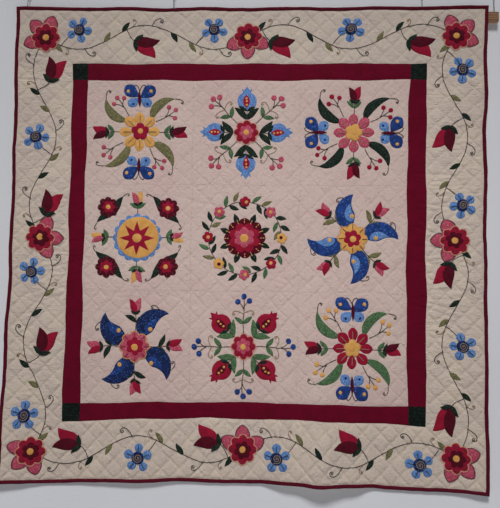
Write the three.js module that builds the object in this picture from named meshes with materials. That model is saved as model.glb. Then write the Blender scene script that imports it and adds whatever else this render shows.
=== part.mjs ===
// Pieced and quilted wall hanging on a wooden slat, held by taut wires.
// Millimetres, +Z up, the quilt's face towards -Y. The origin is on the slat's top face,
// above the middle of the quilt.
import * as THREE from 'three';

const INCH = 25.4;

// Finished sizes of the cut pieces
const BLOCK = 12 * INCH;
const FRAME_STRIP = 1.75 * INCH;
const BORDER = 6.25 * INCH;
const BINDING = 10;
const BLOCKS_ACROSS = 3;

// Quilting lines cross at 45 degrees: cells between their crossings, across each kind of piece
const BLOCK_CELLS = 12;
const FRAME_CELLS = 2;
const BORDER_CELLS = 6;

// Thickness of the layers, from the back of the quilt
const LINE_THICKNESS = 2.4;
const PUFF_THICKNESS = 5.4;
const STRIP_CROWN = 4.2;

// Joins between neighbouring pieces
const GAP = 0.3;
const BINDING_GAP = 0.45;
const MITRE_GAP = 0.37;

// Hanging slat, and how the quilt sits on it
const SLAT_DEPTH = 16;
const SLAT_HEIGHT = 28;
const SLAT_LEFT = -655;
const SLAT_RIGHT = 704;
const SLAT_CHAMFER = 1.5;
const CLOTH_CLEARANCE = 2;
const QUILT_ABOVE_SLAT = 16;

// Hanging wires, each ending in a ring
const WIRE_DIAMETER = 2;
const WIRE_SIDES = 8;
const WIRE_STEPS = 10;
const WIRE_LENGTH = 52;
const RING_RADIUS = 5;
const RING_WIRE_RADIUS = 1;
const RING_SECTION_SIDES = 6;
const RING_SIDES = 14;
const WIRES = [
  { foot: -645, head: -640 },
  { foot: -216, head: -216 },
  { foot: 492, head: 492 },
  { foot: 694, head: 693 },
];

// Each seam strays from its straight cut line by this much at its start, middle and end.
// Upright seams run from the top down, and stray to the right.
const UPRIGHT_STRAYS = [
  { seam: 'left edge', start: -1, middle: 2, end: -19 },
  { seam: 'frame left, outer', start: -1, middle: 2, end: -12 },
  { seam: 'frame left, inner', start: -1, middle: 2, end: -3 },
  { seam: 'first block seam', start: 0, middle: 1, end: 2 },
  { seam: 'second block seam', start: 0, middle: -3, end: -2 },
  { seam: 'frame right, inner', start: 7, middle: -10, end: 4 },
  { seam: 'frame right, outer', start: 4, middle: -1, end: 4 },
  { seam: 'right edge', start: 3, middle: -3, end: 5 },
];
// Level seams run from left to right, and stray upwards.
const LEVEL_STRAYS = [
  { seam: 'top edge', start: 0, middle: -4, end: 0 },
  { seam: 'frame top, outer', start: 0, middle: 2, end: 3 },
  { seam: 'frame top, inner', start: -1, middle: -2, end: 2 },
  { seam: 'first block seam', start: 2, middle: 5, end: 5 },
  { seam: 'second block seam', start: 4, middle: 12, end: 9 },
  { seam: 'frame foot, inner', start: -10, middle: 9, end: 2 },
  { seam: 'frame foot, outer', start: -21, middle: 9, end: -11 },
  { seam: 'hem', start: -19, middle: 0, end: -16 },
];
const WANDER = 1.3;
const WANDER_WAVES = 5.5;
const WANDER_SHIFT = 0.31;

// The hem falls back to the wall, with a few soft folds: how far it stands out from the hanging plane,
// across the quilt from -1 to 1
const HEM_FOLDS = [
  { across: -1.0, out: -4 },
  { across: -0.78, out: -17 },
  { across: -0.45, out: -9 },
  { across: -0.2, out: -17 },
  { across: 0.06, out: -17 },
  { across: 0.2, out: 0 },
  { across: 0.33, out: 19 },
  { across: 0.43, out: 4 },
  { across: 0.55, out: -16 },
  { across: 0.85, out: -16 },
  { across: 1.0, out: -8 },
];
const FOLDS_START = 0.42;
const FOLDS_POWER = 1.8;

// The binding's folded section: width from the border's edge, and how proud of the quilt's back
const BINDING_SECTION = [
  { width: 0, proud: 3.4 },
  { width: 4.5, proud: 5.8 },
  { width: 9.2, proud: 4.6 },
  { width: 10, proud: 2.2 },
  { width: 9.2, proud: -0.2 },
  { width: 0, proud: -0.6 },
];

const CLOTH = {
  block: { color: 0xd2bcb0, roughness: 0.95 },
  border: { color: 0xc6b8a6, roughness: 0.95 },
  frame: { color: 0x5e0d22, roughness: 0.9 },
  corner: { color: 0x14201b, roughness: 0.95 },
  binding: { color: 0x561022, roughness: 0.9 },
};
const WOOD = { color: 0x8a5f42, roughness: 0.6 };
const WIRE = { color: 0x5a5a5c, roughness: 0.45, metalness: 0.8 };

// Widths and cells of the bands that cross the quilt, and of the ones that go down it
const BANDS = [
  { width: BORDER, cells: BORDER_CELLS },
  { width: FRAME_STRIP, cells: FRAME_CELLS },
  ...Array(BLOCKS_ACROSS).fill({ width: BLOCK, cells: BLOCK_CELLS }),
  { width: FRAME_STRIP, cells: FRAME_CELLS },
  { width: BORDER, cells: BORDER_CELLS },
];
const HALF_TOP = BANDS.reduce((sum, band) => sum + band.width, 0) / 2;
const HALF_QUILT = HALF_TOP + BINDING;
const BACK_Y = -(SLAT_DEPTH / 2 + CLOTH_CLEARANCE);
const MIDDLE_Z = QUILT_ABOVE_SLAT - HALF_QUILT;

/** Flat places of the seams, and of all cell lines, with the line number of each seam. */
function layOut() {
  const seams = [-HALF_TOP];
  const seamLines = [0];
  const lines = [-HALF_TOP];
  for (const { width, cells } of BANDS) {
    const start = seams.at(-1);
    for (let k = 1; k <= cells; k++) lines.push(start + (width * k) / cells);
    seams.push(start + width);
    seamLines.push(seamLines.at(-1) + cells);
  }
  return { seams, seamLines, lines };
}
const { seams, seamLines, lines } = layOut();
const LAST_LINE = lines.length - 1;

/** Stray of one seam at a share of its length: a curve through its three stated places. */
function alongSeam(row, number, share) {
  const bend =
    row.start * (1 - share) * (1 - 2 * share) +
    row.middle * 4 * share * (1 - share) +
    row.end * share * (2 * share - 1);
  return bend + WANDER * Math.sin(2 * Math.PI * (WANDER_WAVES * share + WANDER_SHIFT * number));
}

/** Stray at a flat place, between the two seams beside it. */
function strayAt(rows, flat, along) {
  let k = 0;
  while (k < seams.length - 2 && flat > seams[k + 1]) k++;
  const between = THREE.MathUtils.clamp((flat - seams[k]) / (seams[k + 1] - seams[k]), 0, 1);
  const share = (along + HALF_QUILT) / (2 * HALF_QUILT);
  const near = alongSeam(rows[k], k, share);
  const far = alongSeam(rows[k + 1], k + 1, share);
  return THREE.MathUtils.lerp(near, far, between);
}

/** How far the cloth stands out from its hanging plane at a flat place. */
function foldOut(right, down) {
  const across = THREE.MathUtils.clamp(right / HALF_QUILT, -1, 1);
  let k = 0;
  while (k < HEM_FOLDS.length - 2 && across > HEM_FOLDS[k + 1].across) k++;
  const near = HEM_FOLDS[k];
  const far = HEM_FOLDS[k + 1];
  const blend = THREE.MathUtils.smoothstep(across, near.across, far.across);
  const drop = (down + HALF_QUILT) / (2 * HALF_QUILT);
  const rise = Math.max(0, (drop - FOLDS_START) / (1 - FOLDS_START)) ** FOLDS_POWER;
  return THREE.MathUtils.lerp(near.out, far.out, blend) * rise;
}

/** Where a place on the flat quilt hangs, at a height above the quilt's back. */
function hang(right, down, proud) {
  const x = right + strayAt(UPRIGHT_STRAYS, right, down);
  const z = MIDDLE_Z - down + strayAt(LEVEL_STRAYS, down, right);
  const y = BACK_Y - foldOut(right, down) - proud;
  return [x, y, z];
}

function solid(points, triangles) {
  const geometry = new THREE.BufferGeometry();
  geometry.setAttribute('position', new THREE.Float32BufferAttribute(points.flat(), 3));
  geometry.setIndex(triangles.flat());
  geometry.computeVertexNormals();
  return geometry;
}

/** Height of the face: low on quilting lines and seams, raised between them. */
const reliefs = {
  quilted: (column, row) => ((column + row) % 2 ? PUFF_THICKNESS : LINE_THICKNESS),
  crowned: () => STRIP_CROWN,
};

/**
 * One flat cut piece, hung. Its face has every cell line, split along the quilting lines.
 * Its back has every second level line.
 */
function panel({ columns, rows, relief }) {
  const [firstColumn, lastColumn] = columns;
  const [firstRow, lastRow] = rows;
  const across = lastColumn - firstColumn;
  const down = lastRow - firstRow;
  const inset = (line, first, last) => {
    const shift = (line === first ? GAP / 2 : 0) - (line === last ? GAP / 2 : 0);
    return lines[line] + shift;
  };
  const place = (i, j, proud) =>
    hang(
      inset(firstColumn + i, firstColumn, lastColumn),
      inset(firstRow + j, firstRow, lastRow),
      proud,
    );
  const points = [];
  for (let j = 0; j <= down; j++) {
    for (let i = 0; i <= across; i++) {
      const onSeam = i === 0 || j === 0 || i === across || j === down;
      const proud = onSeam ? LINE_THICKNESS : reliefs[relief](firstColumn + i, firstRow + j);
      points.push(place(i, j, proud));
    }
  }
  const backStart = points.length;
  for (let j = 0; j <= down; j += 2) {
    for (let i = 0; i <= across; i++) points.push(place(i, j, 0));
  }
  const face = (i, j) => j * (across + 1) + i;
  const back = (i, j) => backStart + (j / 2) * (across + 1) + i;

  const triangles = [];
  for (let j = 0; j < down; j++) {
    for (let i = 0; i < across; i++) {
      const [a, b, c, d] = [face(i, j), face(i + 1, j), face(i + 1, j + 1), face(i, j + 1)];
      const lineFalls = (firstColumn + i + firstRow + j) % 2 === 0;
      if (lineFalls) triangles.push([a, d, c], [a, c, b]);
      else triangles.push([a, d, b], [b, d, c]);
    }
  }
  for (let j = 0; j < down; j += 2) {
    for (let i = 0; i < across; i++) {
      const [a, b, c, d] = [back(i, j), back(i + 1, j), back(i + 1, j + 2), back(i, j + 2)];
      triangles.push([a, c, d], [a, b, c]);
    }
  }
  for (let i = 0; i < across; i++) {
    for (const [from, to, j] of [[i, i + 1, 0], [i + 1, i, down]]) {
      triangles.push([face(from, j), face(to, j), back(to, j)]);
      triangles.push([face(from, j), back(to, j), back(from, j)]);
    }
  }
  for (let j = 0; j < down; j += 2) {
    for (const [i, from, to] of [[across, j, j + 2], [0, j + 2, j]]) {
      const middle = face(i, j + 1);
      triangles.push([face(i, from), middle, back(i, from)]);
      triangles.push([middle, back(i, to), back(i, from)]);
      triangles.push([middle, face(i, to), back(i, to)]);
    }
  }
  return solid(points, triangles);
}

/** Where a place on a binding strip lies flat: along the edge, and outwards from the border. */
const edges = {
  top: (along, reach) => [along, -reach],
  foot: (along, reach) => [-along, reach],
  left: (along, reach) => [-reach, -along],
  right: (along, reach) => [reach, along],
};

/** A folded binding strip along one edge, mitred at both ends. */
function bindingStrip(edge) {
  const points = [];
  for (let line = 0; line <= LAST_LINE; line++) {
    for (const { width, proud } of BINDING_SECTION) {
      const reach = HALF_TOP + BINDING_GAP + width;
      const mitre = reach - MITRE_GAP;
      const end = line === 0 || line === LAST_LINE;
      const along = end ? Math.sign(lines[line]) * mitre : lines[line];
      points.push(hang(...edges[edge](along, reach), proud));
    }
  }
  const sides = BINDING_SECTION.length;
  const triangles = [];
  for (let line = 0; line < LAST_LINE; line++) {
    for (let side = 0; side < sides; side++) {
      const next = (side + 1) % sides;
      const [a, b] = [line * sides + side, line * sides + next];
      triangles.push([a, a + sides, b + sides], [a, b + sides, b]);
    }
  }
  const lastRing = LAST_LINE * sides;
  for (let side = 1; side < sides - 1; side++) {
    triangles.push([0, side, side + 1]);
    triangles.push([lastRing, lastRing + side + 1, lastRing + side]);
  }
  return solid(points, triangles);
}

/** Planed slat with its long edges taken off. */
function slat() {
  const y = SLAT_DEPTH / 2;
  const z = SLAT_HEIGHT / 2;
  const c = SLAT_CHAMFER;
  const section = new THREE.Shape([
    new THREE.Vector2(-y + c, -z),
    new THREE.Vector2(y - c, -z),
    new THREE.Vector2(y, -z + c),
    new THREE.Vector2(y, z - c),
    new THREE.Vector2(y - c, z),
    new THREE.Vector2(-y + c, z),
    new THREE.Vector2(-y, z - c),
    new THREE.Vector2(-y, -z + c),
  ]);
  const length = SLAT_RIGHT - SLAT_LEFT;
  const geometry = new THREE.ExtrudeGeometry(section, { depth: length, bevelEnabled: false });
  // The section's first axis becomes Y, its second Z and the length X
  geometry.rotateX(Math.PI / 2).rotateZ(Math.PI / 2);
  return geometry.translate(SLAT_LEFT, 0, -z);
}

function wire({ foot, head }) {
  const corners = [];
  for (let side = 0; side < WIRE_SIDES; side++) {
    const angle = (2 * Math.PI * side) / WIRE_SIDES;
    const radius = WIRE_DIAMETER / 2;
    corners.push(new THREE.Vector2(radius * Math.cos(angle), radius * Math.sin(angle)));
  }
  const start = new THREE.Vector3(foot, 0, GAP);
  const end = new THREE.Vector3(head, 0, GAP + WIRE_LENGTH);
  const settings = { steps: WIRE_STEPS, extrudePath: new THREE.LineCurve3(start, end) };
  return new THREE.ExtrudeGeometry(new THREE.Shape(corners), settings);
}

function ring() {
  const torus = new THREE.TorusGeometry(RING_RADIUS, RING_WIRE_RADIUS, RING_SECTION_SIDES, RING_SIDES);
  return torus.rotateX(Math.PI / 2);
}

const hanging = new THREE.Group();

function add(name, geometry, finish) {
  const mesh = new THREE.Mesh(geometry, new THREE.MeshStandardMaterial(finish));
  mesh.name = name;
  hanging.add(mesh);
  return mesh;
}

// Seam numbers from the left edge or the top edge
const [EDGE_A, FRAME_A, FIELD_A] = seamLines;
const [FIELD_B, FRAME_B, EDGE_B] = seamLines.slice(-3);

for (let row = 0; row < BLOCKS_ACROSS; row++) {
  for (let column = 0; column < BLOCKS_ACROSS; column++) {
    const columns = [seamLines[column + 2], seamLines[column + 3]];
    const rows = [seamLines[row + 2], seamLines[row + 3]];
    const name = `block_${row * BLOCKS_ACROSS + column + 1}`;
    add(name, panel({ columns, rows, relief: 'quilted' }), CLOTH.block);
  }
}

const strips = [
  { name: 'frame_top', columns: [FIELD_A, FIELD_B], rows: [FRAME_A, FIELD_A] },
  { name: 'frame_foot', columns: [FIELD_A, FIELD_B], rows: [FIELD_B, FRAME_B] },
  { name: 'frame_left', columns: [FRAME_A, FIELD_A], rows: [FIELD_A, FIELD_B] },
  { name: 'frame_right', columns: [FIELD_B, FRAME_B], rows: [FIELD_A, FIELD_B] },
];
for (const { name, columns, rows } of strips) {
  add(name, panel({ columns, rows, relief: 'crowned' }), CLOTH.frame);
}

const squares = [
  { columns: [FRAME_A, FIELD_A], rows: [FRAME_A, FIELD_A] },
  { columns: [FIELD_B, FRAME_B], rows: [FRAME_A, FIELD_A] },
  { columns: [FRAME_A, FIELD_A], rows: [FIELD_B, FRAME_B] },
  { columns: [FIELD_B, FRAME_B], rows: [FIELD_B, FRAME_B] },
];
squares.forEach(({ columns, rows }, k) => {
  add(`corner_${k + 1}`, panel({ columns, rows, relief: 'crowned' }), CLOTH.corner);
});

const borders = [
  { name: 'border_top', columns: [EDGE_A, EDGE_B], rows: [EDGE_A, FRAME_A] },
  { name: 'border_foot', columns: [EDGE_A, EDGE_B], rows: [FRAME_B, EDGE_B] },
  { name: 'border_left', columns: [EDGE_A, FRAME_A], rows: [FRAME_A, FRAME_B] },
  { name: 'border_right', columns: [FRAME_B, EDGE_B], rows: [FRAME_A, FRAME_B] },
];
for (const { name, columns, rows } of borders) {
  add(name, panel({ columns, rows, relief: 'quilted' }), CLOTH.border);
}

for (const edge of Object.keys(edges)) add(`binding_${edge}`, bindingStrip(edge), CLOTH.binding);

add('hanging_slat', slat(), WOOD);

WIRES.forEach((ends, k) => {
  add(`hanging_wire_${k + 1}`, wire(ends), WIRE);
  const loop = add(`hanging_ring_${k + 1}`, ring(), WIRE);
  const top = GAP + WIRE_LENGTH;
  loop.position.set(ends.head, 0, top + GAP + RING_RADIUS + RING_WIRE_RADIUS);
});

export default hanging;
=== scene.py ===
"""An appliqué wall quilt that hangs on a wooden slat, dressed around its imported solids.

The quilt is laid out in millimetres. A place on the flat quilt is (right, down) from its middle, seen from
the front. QuiltHang turns it, with its height above the backing, into a place of the hung cloth in metres.
A motif is drawn upright, with x to the right and y up.
"""

import logging
import math
from dataclasses import dataclass, field, replace
from enum import Enum, IntEnum
from functools import cache
from itertools import accumulate
from typing import Any, Iterator, Sequence

import bpy
import numpy as np
from bpy.types import Material, NodeTree
from bpy.types import Object as Piece
from mathutils import Matrix, Vector
from mathutils.geometry import delaunay_2d_cdt
from numpy import ndarray as Array


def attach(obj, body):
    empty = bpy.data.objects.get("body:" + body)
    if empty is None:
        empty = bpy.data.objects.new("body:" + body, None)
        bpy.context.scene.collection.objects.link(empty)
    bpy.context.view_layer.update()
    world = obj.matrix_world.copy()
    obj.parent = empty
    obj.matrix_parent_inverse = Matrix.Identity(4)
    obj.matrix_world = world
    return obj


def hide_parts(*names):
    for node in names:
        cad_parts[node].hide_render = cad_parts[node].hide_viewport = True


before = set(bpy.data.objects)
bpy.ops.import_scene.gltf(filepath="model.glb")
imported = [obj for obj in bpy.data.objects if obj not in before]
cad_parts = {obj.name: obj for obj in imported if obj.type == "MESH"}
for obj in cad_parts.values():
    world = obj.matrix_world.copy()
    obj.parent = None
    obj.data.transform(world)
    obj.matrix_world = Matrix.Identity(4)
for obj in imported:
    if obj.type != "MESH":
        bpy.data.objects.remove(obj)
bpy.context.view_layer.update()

MM = 0.001
INCH = 25.4
TINY = 1e-9
SEED = 11
BODY = "root"
# A wave texture of scale 1 repeats after this length.
WAVE = math.pi / 10
LOG = logging.getLogger("quilt")


def linear(colour: str) -> tuple[float, float, float, float]:
    """Turns an sRGB hex colour to the linear values that a shader takes.

    Args:
        colour: Six hex digits after a #.

    Returns:
        Linear red, green, blue and an alpha of 1.
    """
    shades = [int(colour[at:at + 2], 16) / 255 for at in (1, 3, 5)]
    return (*[s / 12.92 if s <= 0.04045 else ((s + 0.055) / 1.055) ** 2.4 for s in shades], 1.0)


def add(tree: NodeTree, kind: str, settings: dict[str, Any],
        inputs: dict[str | int, Any]) -> bpy.types.Node:
    """Adds one node to a tree, with its settings and its links.

    Args:
        tree: The tree that gets the node.
        kind: The node's type.
        settings: Properties of the node.
        inputs: A value or another node's output for each socket, by name or number.

    Returns:
        The node.
    """
    node = tree.nodes.new(kind)
    for name, value in settings.items():
        setattr(node, name, value)
    for name, value in inputs.items():
        if isinstance(value, bpy.types.NodeSocket):
            tree.links.new(value, node.inputs[name])
        else:
            node.inputs[name].default_value = value
    return node


def new_material(name: str) -> tuple[Material, NodeTree, bpy.types.NodeSocket]:
    """Makes an empty material.

    Args:
        name: The material's name.

    Returns:
        The material, its tree and the socket of its Object coordinates.
    """
    material = bpy.data.materials.new(name)
    material.use_nodes = True
    material.node_tree.nodes.clear()
    place = add(material.node_tree, "ShaderNodeTexCoord", {}, {})
    return material, material.node_tree, place.outputs["Object"]


@dataclass(frozen=True)
class Cotton:
    """A woven quilting cotton, piece-dyed or printed.

    The eye sees a matt cloth with a soft bloom, cloudy dye, small flecks where it is printed, and the crinkle
    that washing leaves. The real thread spacing of 0.35 mm is drawn at 1.6 mm, so that it can show.

    Attributes:
        name: The material's name.
        ground: The dye's colour.
        cloud: The colour of the dye's softer clouds.
        cloud_mm: Width of a cloud.
        fleck: The colour of the printed flecks.
        fleck_mm: Spacing of the flecks.
        fleck_share: How much of the spacing a fleck fills, 0 for a plain cloth.
        crinkle: Height of the washed crinkle in millimetres.
        weave_mm: Spacing of the drawn threads.
        crinkle_mm: Width of a crinkle.
        crinkle_run: How much longer than wide the crinkles are, from side to side.
        sheen: The bloom of the fibres.
    """

    name: str
    ground: str
    cloud: str
    cloud_mm: float = 32.0
    fleck: str = "#ffffff"
    fleck_mm: float = 6.0
    fleck_share: float = 0.0
    crinkle: float = 1.2
    weave_mm: float = 1.6
    crinkle_mm: float = 9.0
    crinkle_run: float = 1.0
    sheen: float = 0.03

    def make(self) -> Material:
        """Makes the cloth's material.

        Returns:
            The material.
        """
        material, tree, place = new_material(self.name)
        clouds = add(tree, "ShaderNodeTexNoise", {},
                     {"Vector": place, "Scale": 1 / (self.cloud_mm * MM), "Detail": 3.0})
        depth = add(tree, "ShaderNodeMapRange", {},
                    {"Value": clouds.outputs["Fac"], "From Min": 0.34, "From Max": 0.66})
        colour = add(tree, "ShaderNodeMix", {"data_type": "RGBA"},
                     {"Factor": depth.outputs[0], 6: linear(self.ground), 7: linear(self.cloud)}).outputs[2]
        if self.fleck_share:
            cells = add(tree, "ShaderNodeTexVoronoi", {},
                        {"Vector": place, "Scale": 1 / (self.fleck_mm * MM), "Randomness": 0.9})
            print_mask = add(tree, "ShaderNodeMapRange", {},
                             {"Value": cells.outputs["Distance"], "From Min": self.fleck_share * 0.8,
                              "From Max": self.fleck_share * 1.2, "To Min": 0.85, "To Max": 0.0})
            colour = add(tree, "ShaderNodeMix", {"data_type": "RGBA"},
                         {"Factor": print_mask.outputs[0], 6: colour, 7: linear(self.fleck)}).outputs[2]
        threads = [add(tree, "ShaderNodeTexWave", {"bands_direction": way},
                       {"Vector": place, "Scale": WAVE / (self.weave_mm * MM), "Distortion": 0.6,
                        "Detail": 1.0}).outputs["Fac"] for way in ("X", "Z")]
        weave = add(tree, "ShaderNodeMath", {"operation": "MAXIMUM"}, {0: threads[0], 1: threads[1]})
        # Painted shade: the colour is darkened in the gaps between the drawn threads, and lifted slightly on
        # the threads' tops.
        thread_gap_shade = add(tree, "ShaderNodeMapRange", {},
                   {"Value": weave.outputs[0], "To Min": 0.88, "To Max": 1.02})
        shaded = add(tree, "ShaderNodeMix", {"data_type": "RGBA", "blend_type": "MULTIPLY"},
                     {"Factor": 1.0, 6: colour, 7: thread_gap_shade.outputs[0]})
        drawn = add(tree, "ShaderNodeMapping", {},
                    {"Vector": place, "Scale": (1 / self.crinkle_run, 1.0, 1.0)})
        crumple = add(tree, "ShaderNodeTexNoise", {},
                      {"Vector": drawn.outputs[0], "Scale": 1 / (self.crinkle_mm * MM), "Detail": 2.0,
                       "Roughness": 0.5, "Distortion": 0.6})
        either = add(tree, "ShaderNodeMath", {"operation": "SUBTRACT"}, {0: crumple.outputs["Fac"], 1: 0.5})
        puffs = add(tree, "ShaderNodeMath", {"operation": "ABSOLUTE"}, {0: either.outputs[0]})
        soft = add(tree, "ShaderNodeBump", {},
                   {"Height": puffs.outputs[0], "Strength": 1.0, "Distance": 2 * self.crinkle * MM})
        fine = add(tree, "ShaderNodeBump", {},
                   {"Height": weave.outputs[0], "Strength": 0.25, "Distance": 0.2 * MM,
                    "Normal": soft.outputs["Normal"]})
        rough = add(tree, "ShaderNodeMapRange", {},
                    {"Value": weave.outputs[0], "To Min": 0.98, "To Max": 0.84})
        shader = add(tree, "ShaderNodeBsdfPrincipled", {},
                     {"Base Color": shaded.outputs[2], "Roughness": rough.outputs[0],
                      "Specular IOR Level": 0.08, "Sheen Weight": self.sheen, "Sheen Roughness": 0.5,
                      "Normal": fine.outputs["Normal"]})
        add(tree, "ShaderNodeOutputMaterial", {}, {"Surface": shader.outputs[0]})
        return material


@dataclass(frozen=True)
class Floss:
    """Cotton embroidery or quilting thread, spun and mercerised, so it has a soft shine along its twist."""

    name: str
    colour: str
    shade: str
    patch_mm: float = 9.0
    twist_mm: float = 1.1

    def make(self) -> Material:
        """Makes the thread's material.

        Returns:
            The material.
        """
        material, tree, place = new_material(self.name)
        tone = add(tree, "ShaderNodeTexNoise", {},
                   {"Vector": place, "Scale": 1 / (self.patch_mm * MM), "Detail": 2.0})
        colour = add(tree, "ShaderNodeMix", {"data_type": "RGBA"},
                     {"Factor": tone.outputs["Fac"], 6: linear(self.colour), 7: linear(self.shade)})
        twist = add(tree, "ShaderNodeTexWave", {"bands_direction": "DIAGONAL"},
                    {"Vector": place, "Scale": WAVE / (self.twist_mm * MM), "Distortion": 1.0})
        bump = add(tree, "ShaderNodeBump", {},
                   {"Height": twist.outputs["Fac"], "Strength": 0.4, "Distance": 0.2 * MM})
        shader = add(tree, "ShaderNodeBsdfPrincipled", {},
                     {"Base Color": colour.outputs[2], "Roughness": 0.6, "Specular IOR Level": 0.3,
                      "Sheen Weight": 0.15, "Normal": bump.outputs["Normal"]})
        add(tree, "ShaderNodeOutputMaterial", {}, {"Surface": shader.outputs[0]})
        return material


@dataclass(frozen=True)
class Softwood:
    """Planed pine under a thin brown stain: long growth lines, fine pores and a dull shine."""

    name: str = "stained_planed_pine"
    early: str = "#966a45"
    late: str = "#583920"
    ring_mm: float = 7.0
    pore_mm: float = 0.9
    stretch: float = 26.0

    def make(self) -> Material:
        """Makes the slat's material.

        Returns:
            The material.
        """
        material, tree, place = new_material(self.name)
        along = add(tree, "ShaderNodeMapping", {}, {"Vector": place, "Scale": (1 / self.stretch, 1.0, 1.0)})
        rings = add(tree, "ShaderNodeTexWave", {"bands_direction": "Z"},
                    {"Vector": along.outputs[0], "Scale": WAVE / (self.ring_mm * MM),
                     "Distortion": 5.0, "Detail": 3.0, "Detail Scale": 1.4})
        pores = add(tree, "ShaderNodeTexNoise", {},
                    {"Vector": along.outputs[0], "Scale": 1 / (self.pore_mm * MM), "Detail": 3.0})
        grain = add(tree, "ShaderNodeMath", {"operation": "MULTIPLY_ADD"},
                    {0: pores.outputs["Fac"], 1: 0.45, 2: rings.outputs["Fac"]})
        depth = add(tree, "ShaderNodeMapRange", {},
                    {"Value": grain.outputs[0], "From Min": 0.1, "From Max": 1.3})
        colour = add(tree, "ShaderNodeMix", {"data_type": "RGBA"},
                     {"Factor": depth.outputs[0], 6: linear(self.early), 7: linear(self.late)})
        rough = add(tree, "ShaderNodeMapRange", {},
                    {"Value": pores.outputs["Fac"], "To Min": 0.45, "To Max": 0.7})
        bump = add(tree, "ShaderNodeBump", {},
                   {"Height": grain.outputs[0], "Strength": 0.3, "Distance": 0.4 * MM})
        shader = add(tree, "ShaderNodeBsdfPrincipled", {},
                     {"Base Color": colour.outputs[2], "Roughness": rough.outputs[0],
                      "Normal": bump.outputs["Normal"]})
        add(tree, "ShaderNodeOutputMaterial", {}, {"Surface": shader.outputs[0]})
        return material


@dataclass(frozen=True)
class Steel:
    """Drawn and galvanised steel: a grey metal with a dull, slightly cloudy surface."""

    name: str = "drawn_galvanised_steel"
    bright: str = "#7c7f83"
    dull: str = "#55585c"
    cloud_mm: float = 2.5

    def make(self) -> Material:
        """Makes the wires' and rings' material.

        Returns:
            The material.
        """
        material, tree, place = new_material(self.name)
        clouds = add(tree, "ShaderNodeTexNoise", {},
                     {"Vector": place, "Scale": 1 / (self.cloud_mm * MM), "Detail": 4.0})
        colour = add(tree, "ShaderNodeMix", {"data_type": "RGBA"},
                     {"Factor": clouds.outputs["Fac"], 6: linear(self.bright), 7: linear(self.dull)})
        rough = add(tree, "ShaderNodeMapRange", {},
                    {"Value": clouds.outputs["Fac"], "To Min": 0.28, "To Max": 0.55})
        bump = add(tree, "ShaderNodeBump", {},
                   {"Height": clouds.outputs["Fac"], "Strength": 0.2, "Distance": 0.1 * MM})
        shader = add(tree, "ShaderNodeBsdfPrincipled", {},
                     {"Base Color": colour.outputs[2], "Metallic": 1.0, "Roughness": rough.outputs[0],
                      "Normal": bump.outputs["Normal"]})
        add(tree, "ShaderNodeOutputMaterial", {}, {"Surface": shader.outputs[0]})
        return material


@dataclass(frozen=True)
class Plaster:
    """Rolled paint on plaster: pale and matt, with a faint texture, and clear from behind where asked."""

    name: str
    light: str
    shade: str
    clear_behind: bool = False
    cloud_mm: float = 260.0
    roller_mm: float = 7.0

    def make(self) -> Material:
        """Makes the material of the wall or the floor.

        Returns:
            The material.
        """
        material, tree, place = new_material(self.name)
        clouds = add(tree, "ShaderNodeTexNoise", {},
                     {"Vector": place, "Scale": 1 / (self.cloud_mm * MM), "Detail": 3.0})
        colour = add(tree, "ShaderNodeMix", {"data_type": "RGBA"},
                     {"Factor": clouds.outputs["Fac"], 6: linear(self.light), 7: linear(self.shade)})
        roller = add(tree, "ShaderNodeTexNoise", {},
                     {"Vector": place, "Scale": 1 / (self.roller_mm * MM), "Detail": 2.0})
        bump = add(tree, "ShaderNodeBump", {},
                   {"Height": roller.outputs["Fac"], "Strength": 0.5, "Distance": 1.0 * MM})
        shader = add(tree, "ShaderNodeBsdfPrincipled", {},
                     {"Base Color": colour.outputs[2], "Roughness": 0.95, "Specular IOR Level": 0.1,
                      "Normal": bump.outputs["Normal"]})
        surface = shader.outputs[0]
        if self.clear_behind:
            side = add(tree, "ShaderNodeNewGeometry", {}, {})
            clear = add(tree, "ShaderNodeBsdfTransparent", {}, {})
            surface = add(tree, "ShaderNodeMixShader", {},
                          {0: side.outputs["Backfacing"], 1: surface, 2: clear.outputs[0]}).outputs[0]
        add(tree, "ShaderNodeOutputMaterial", {}, {"Surface": surface})
        return material


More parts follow.
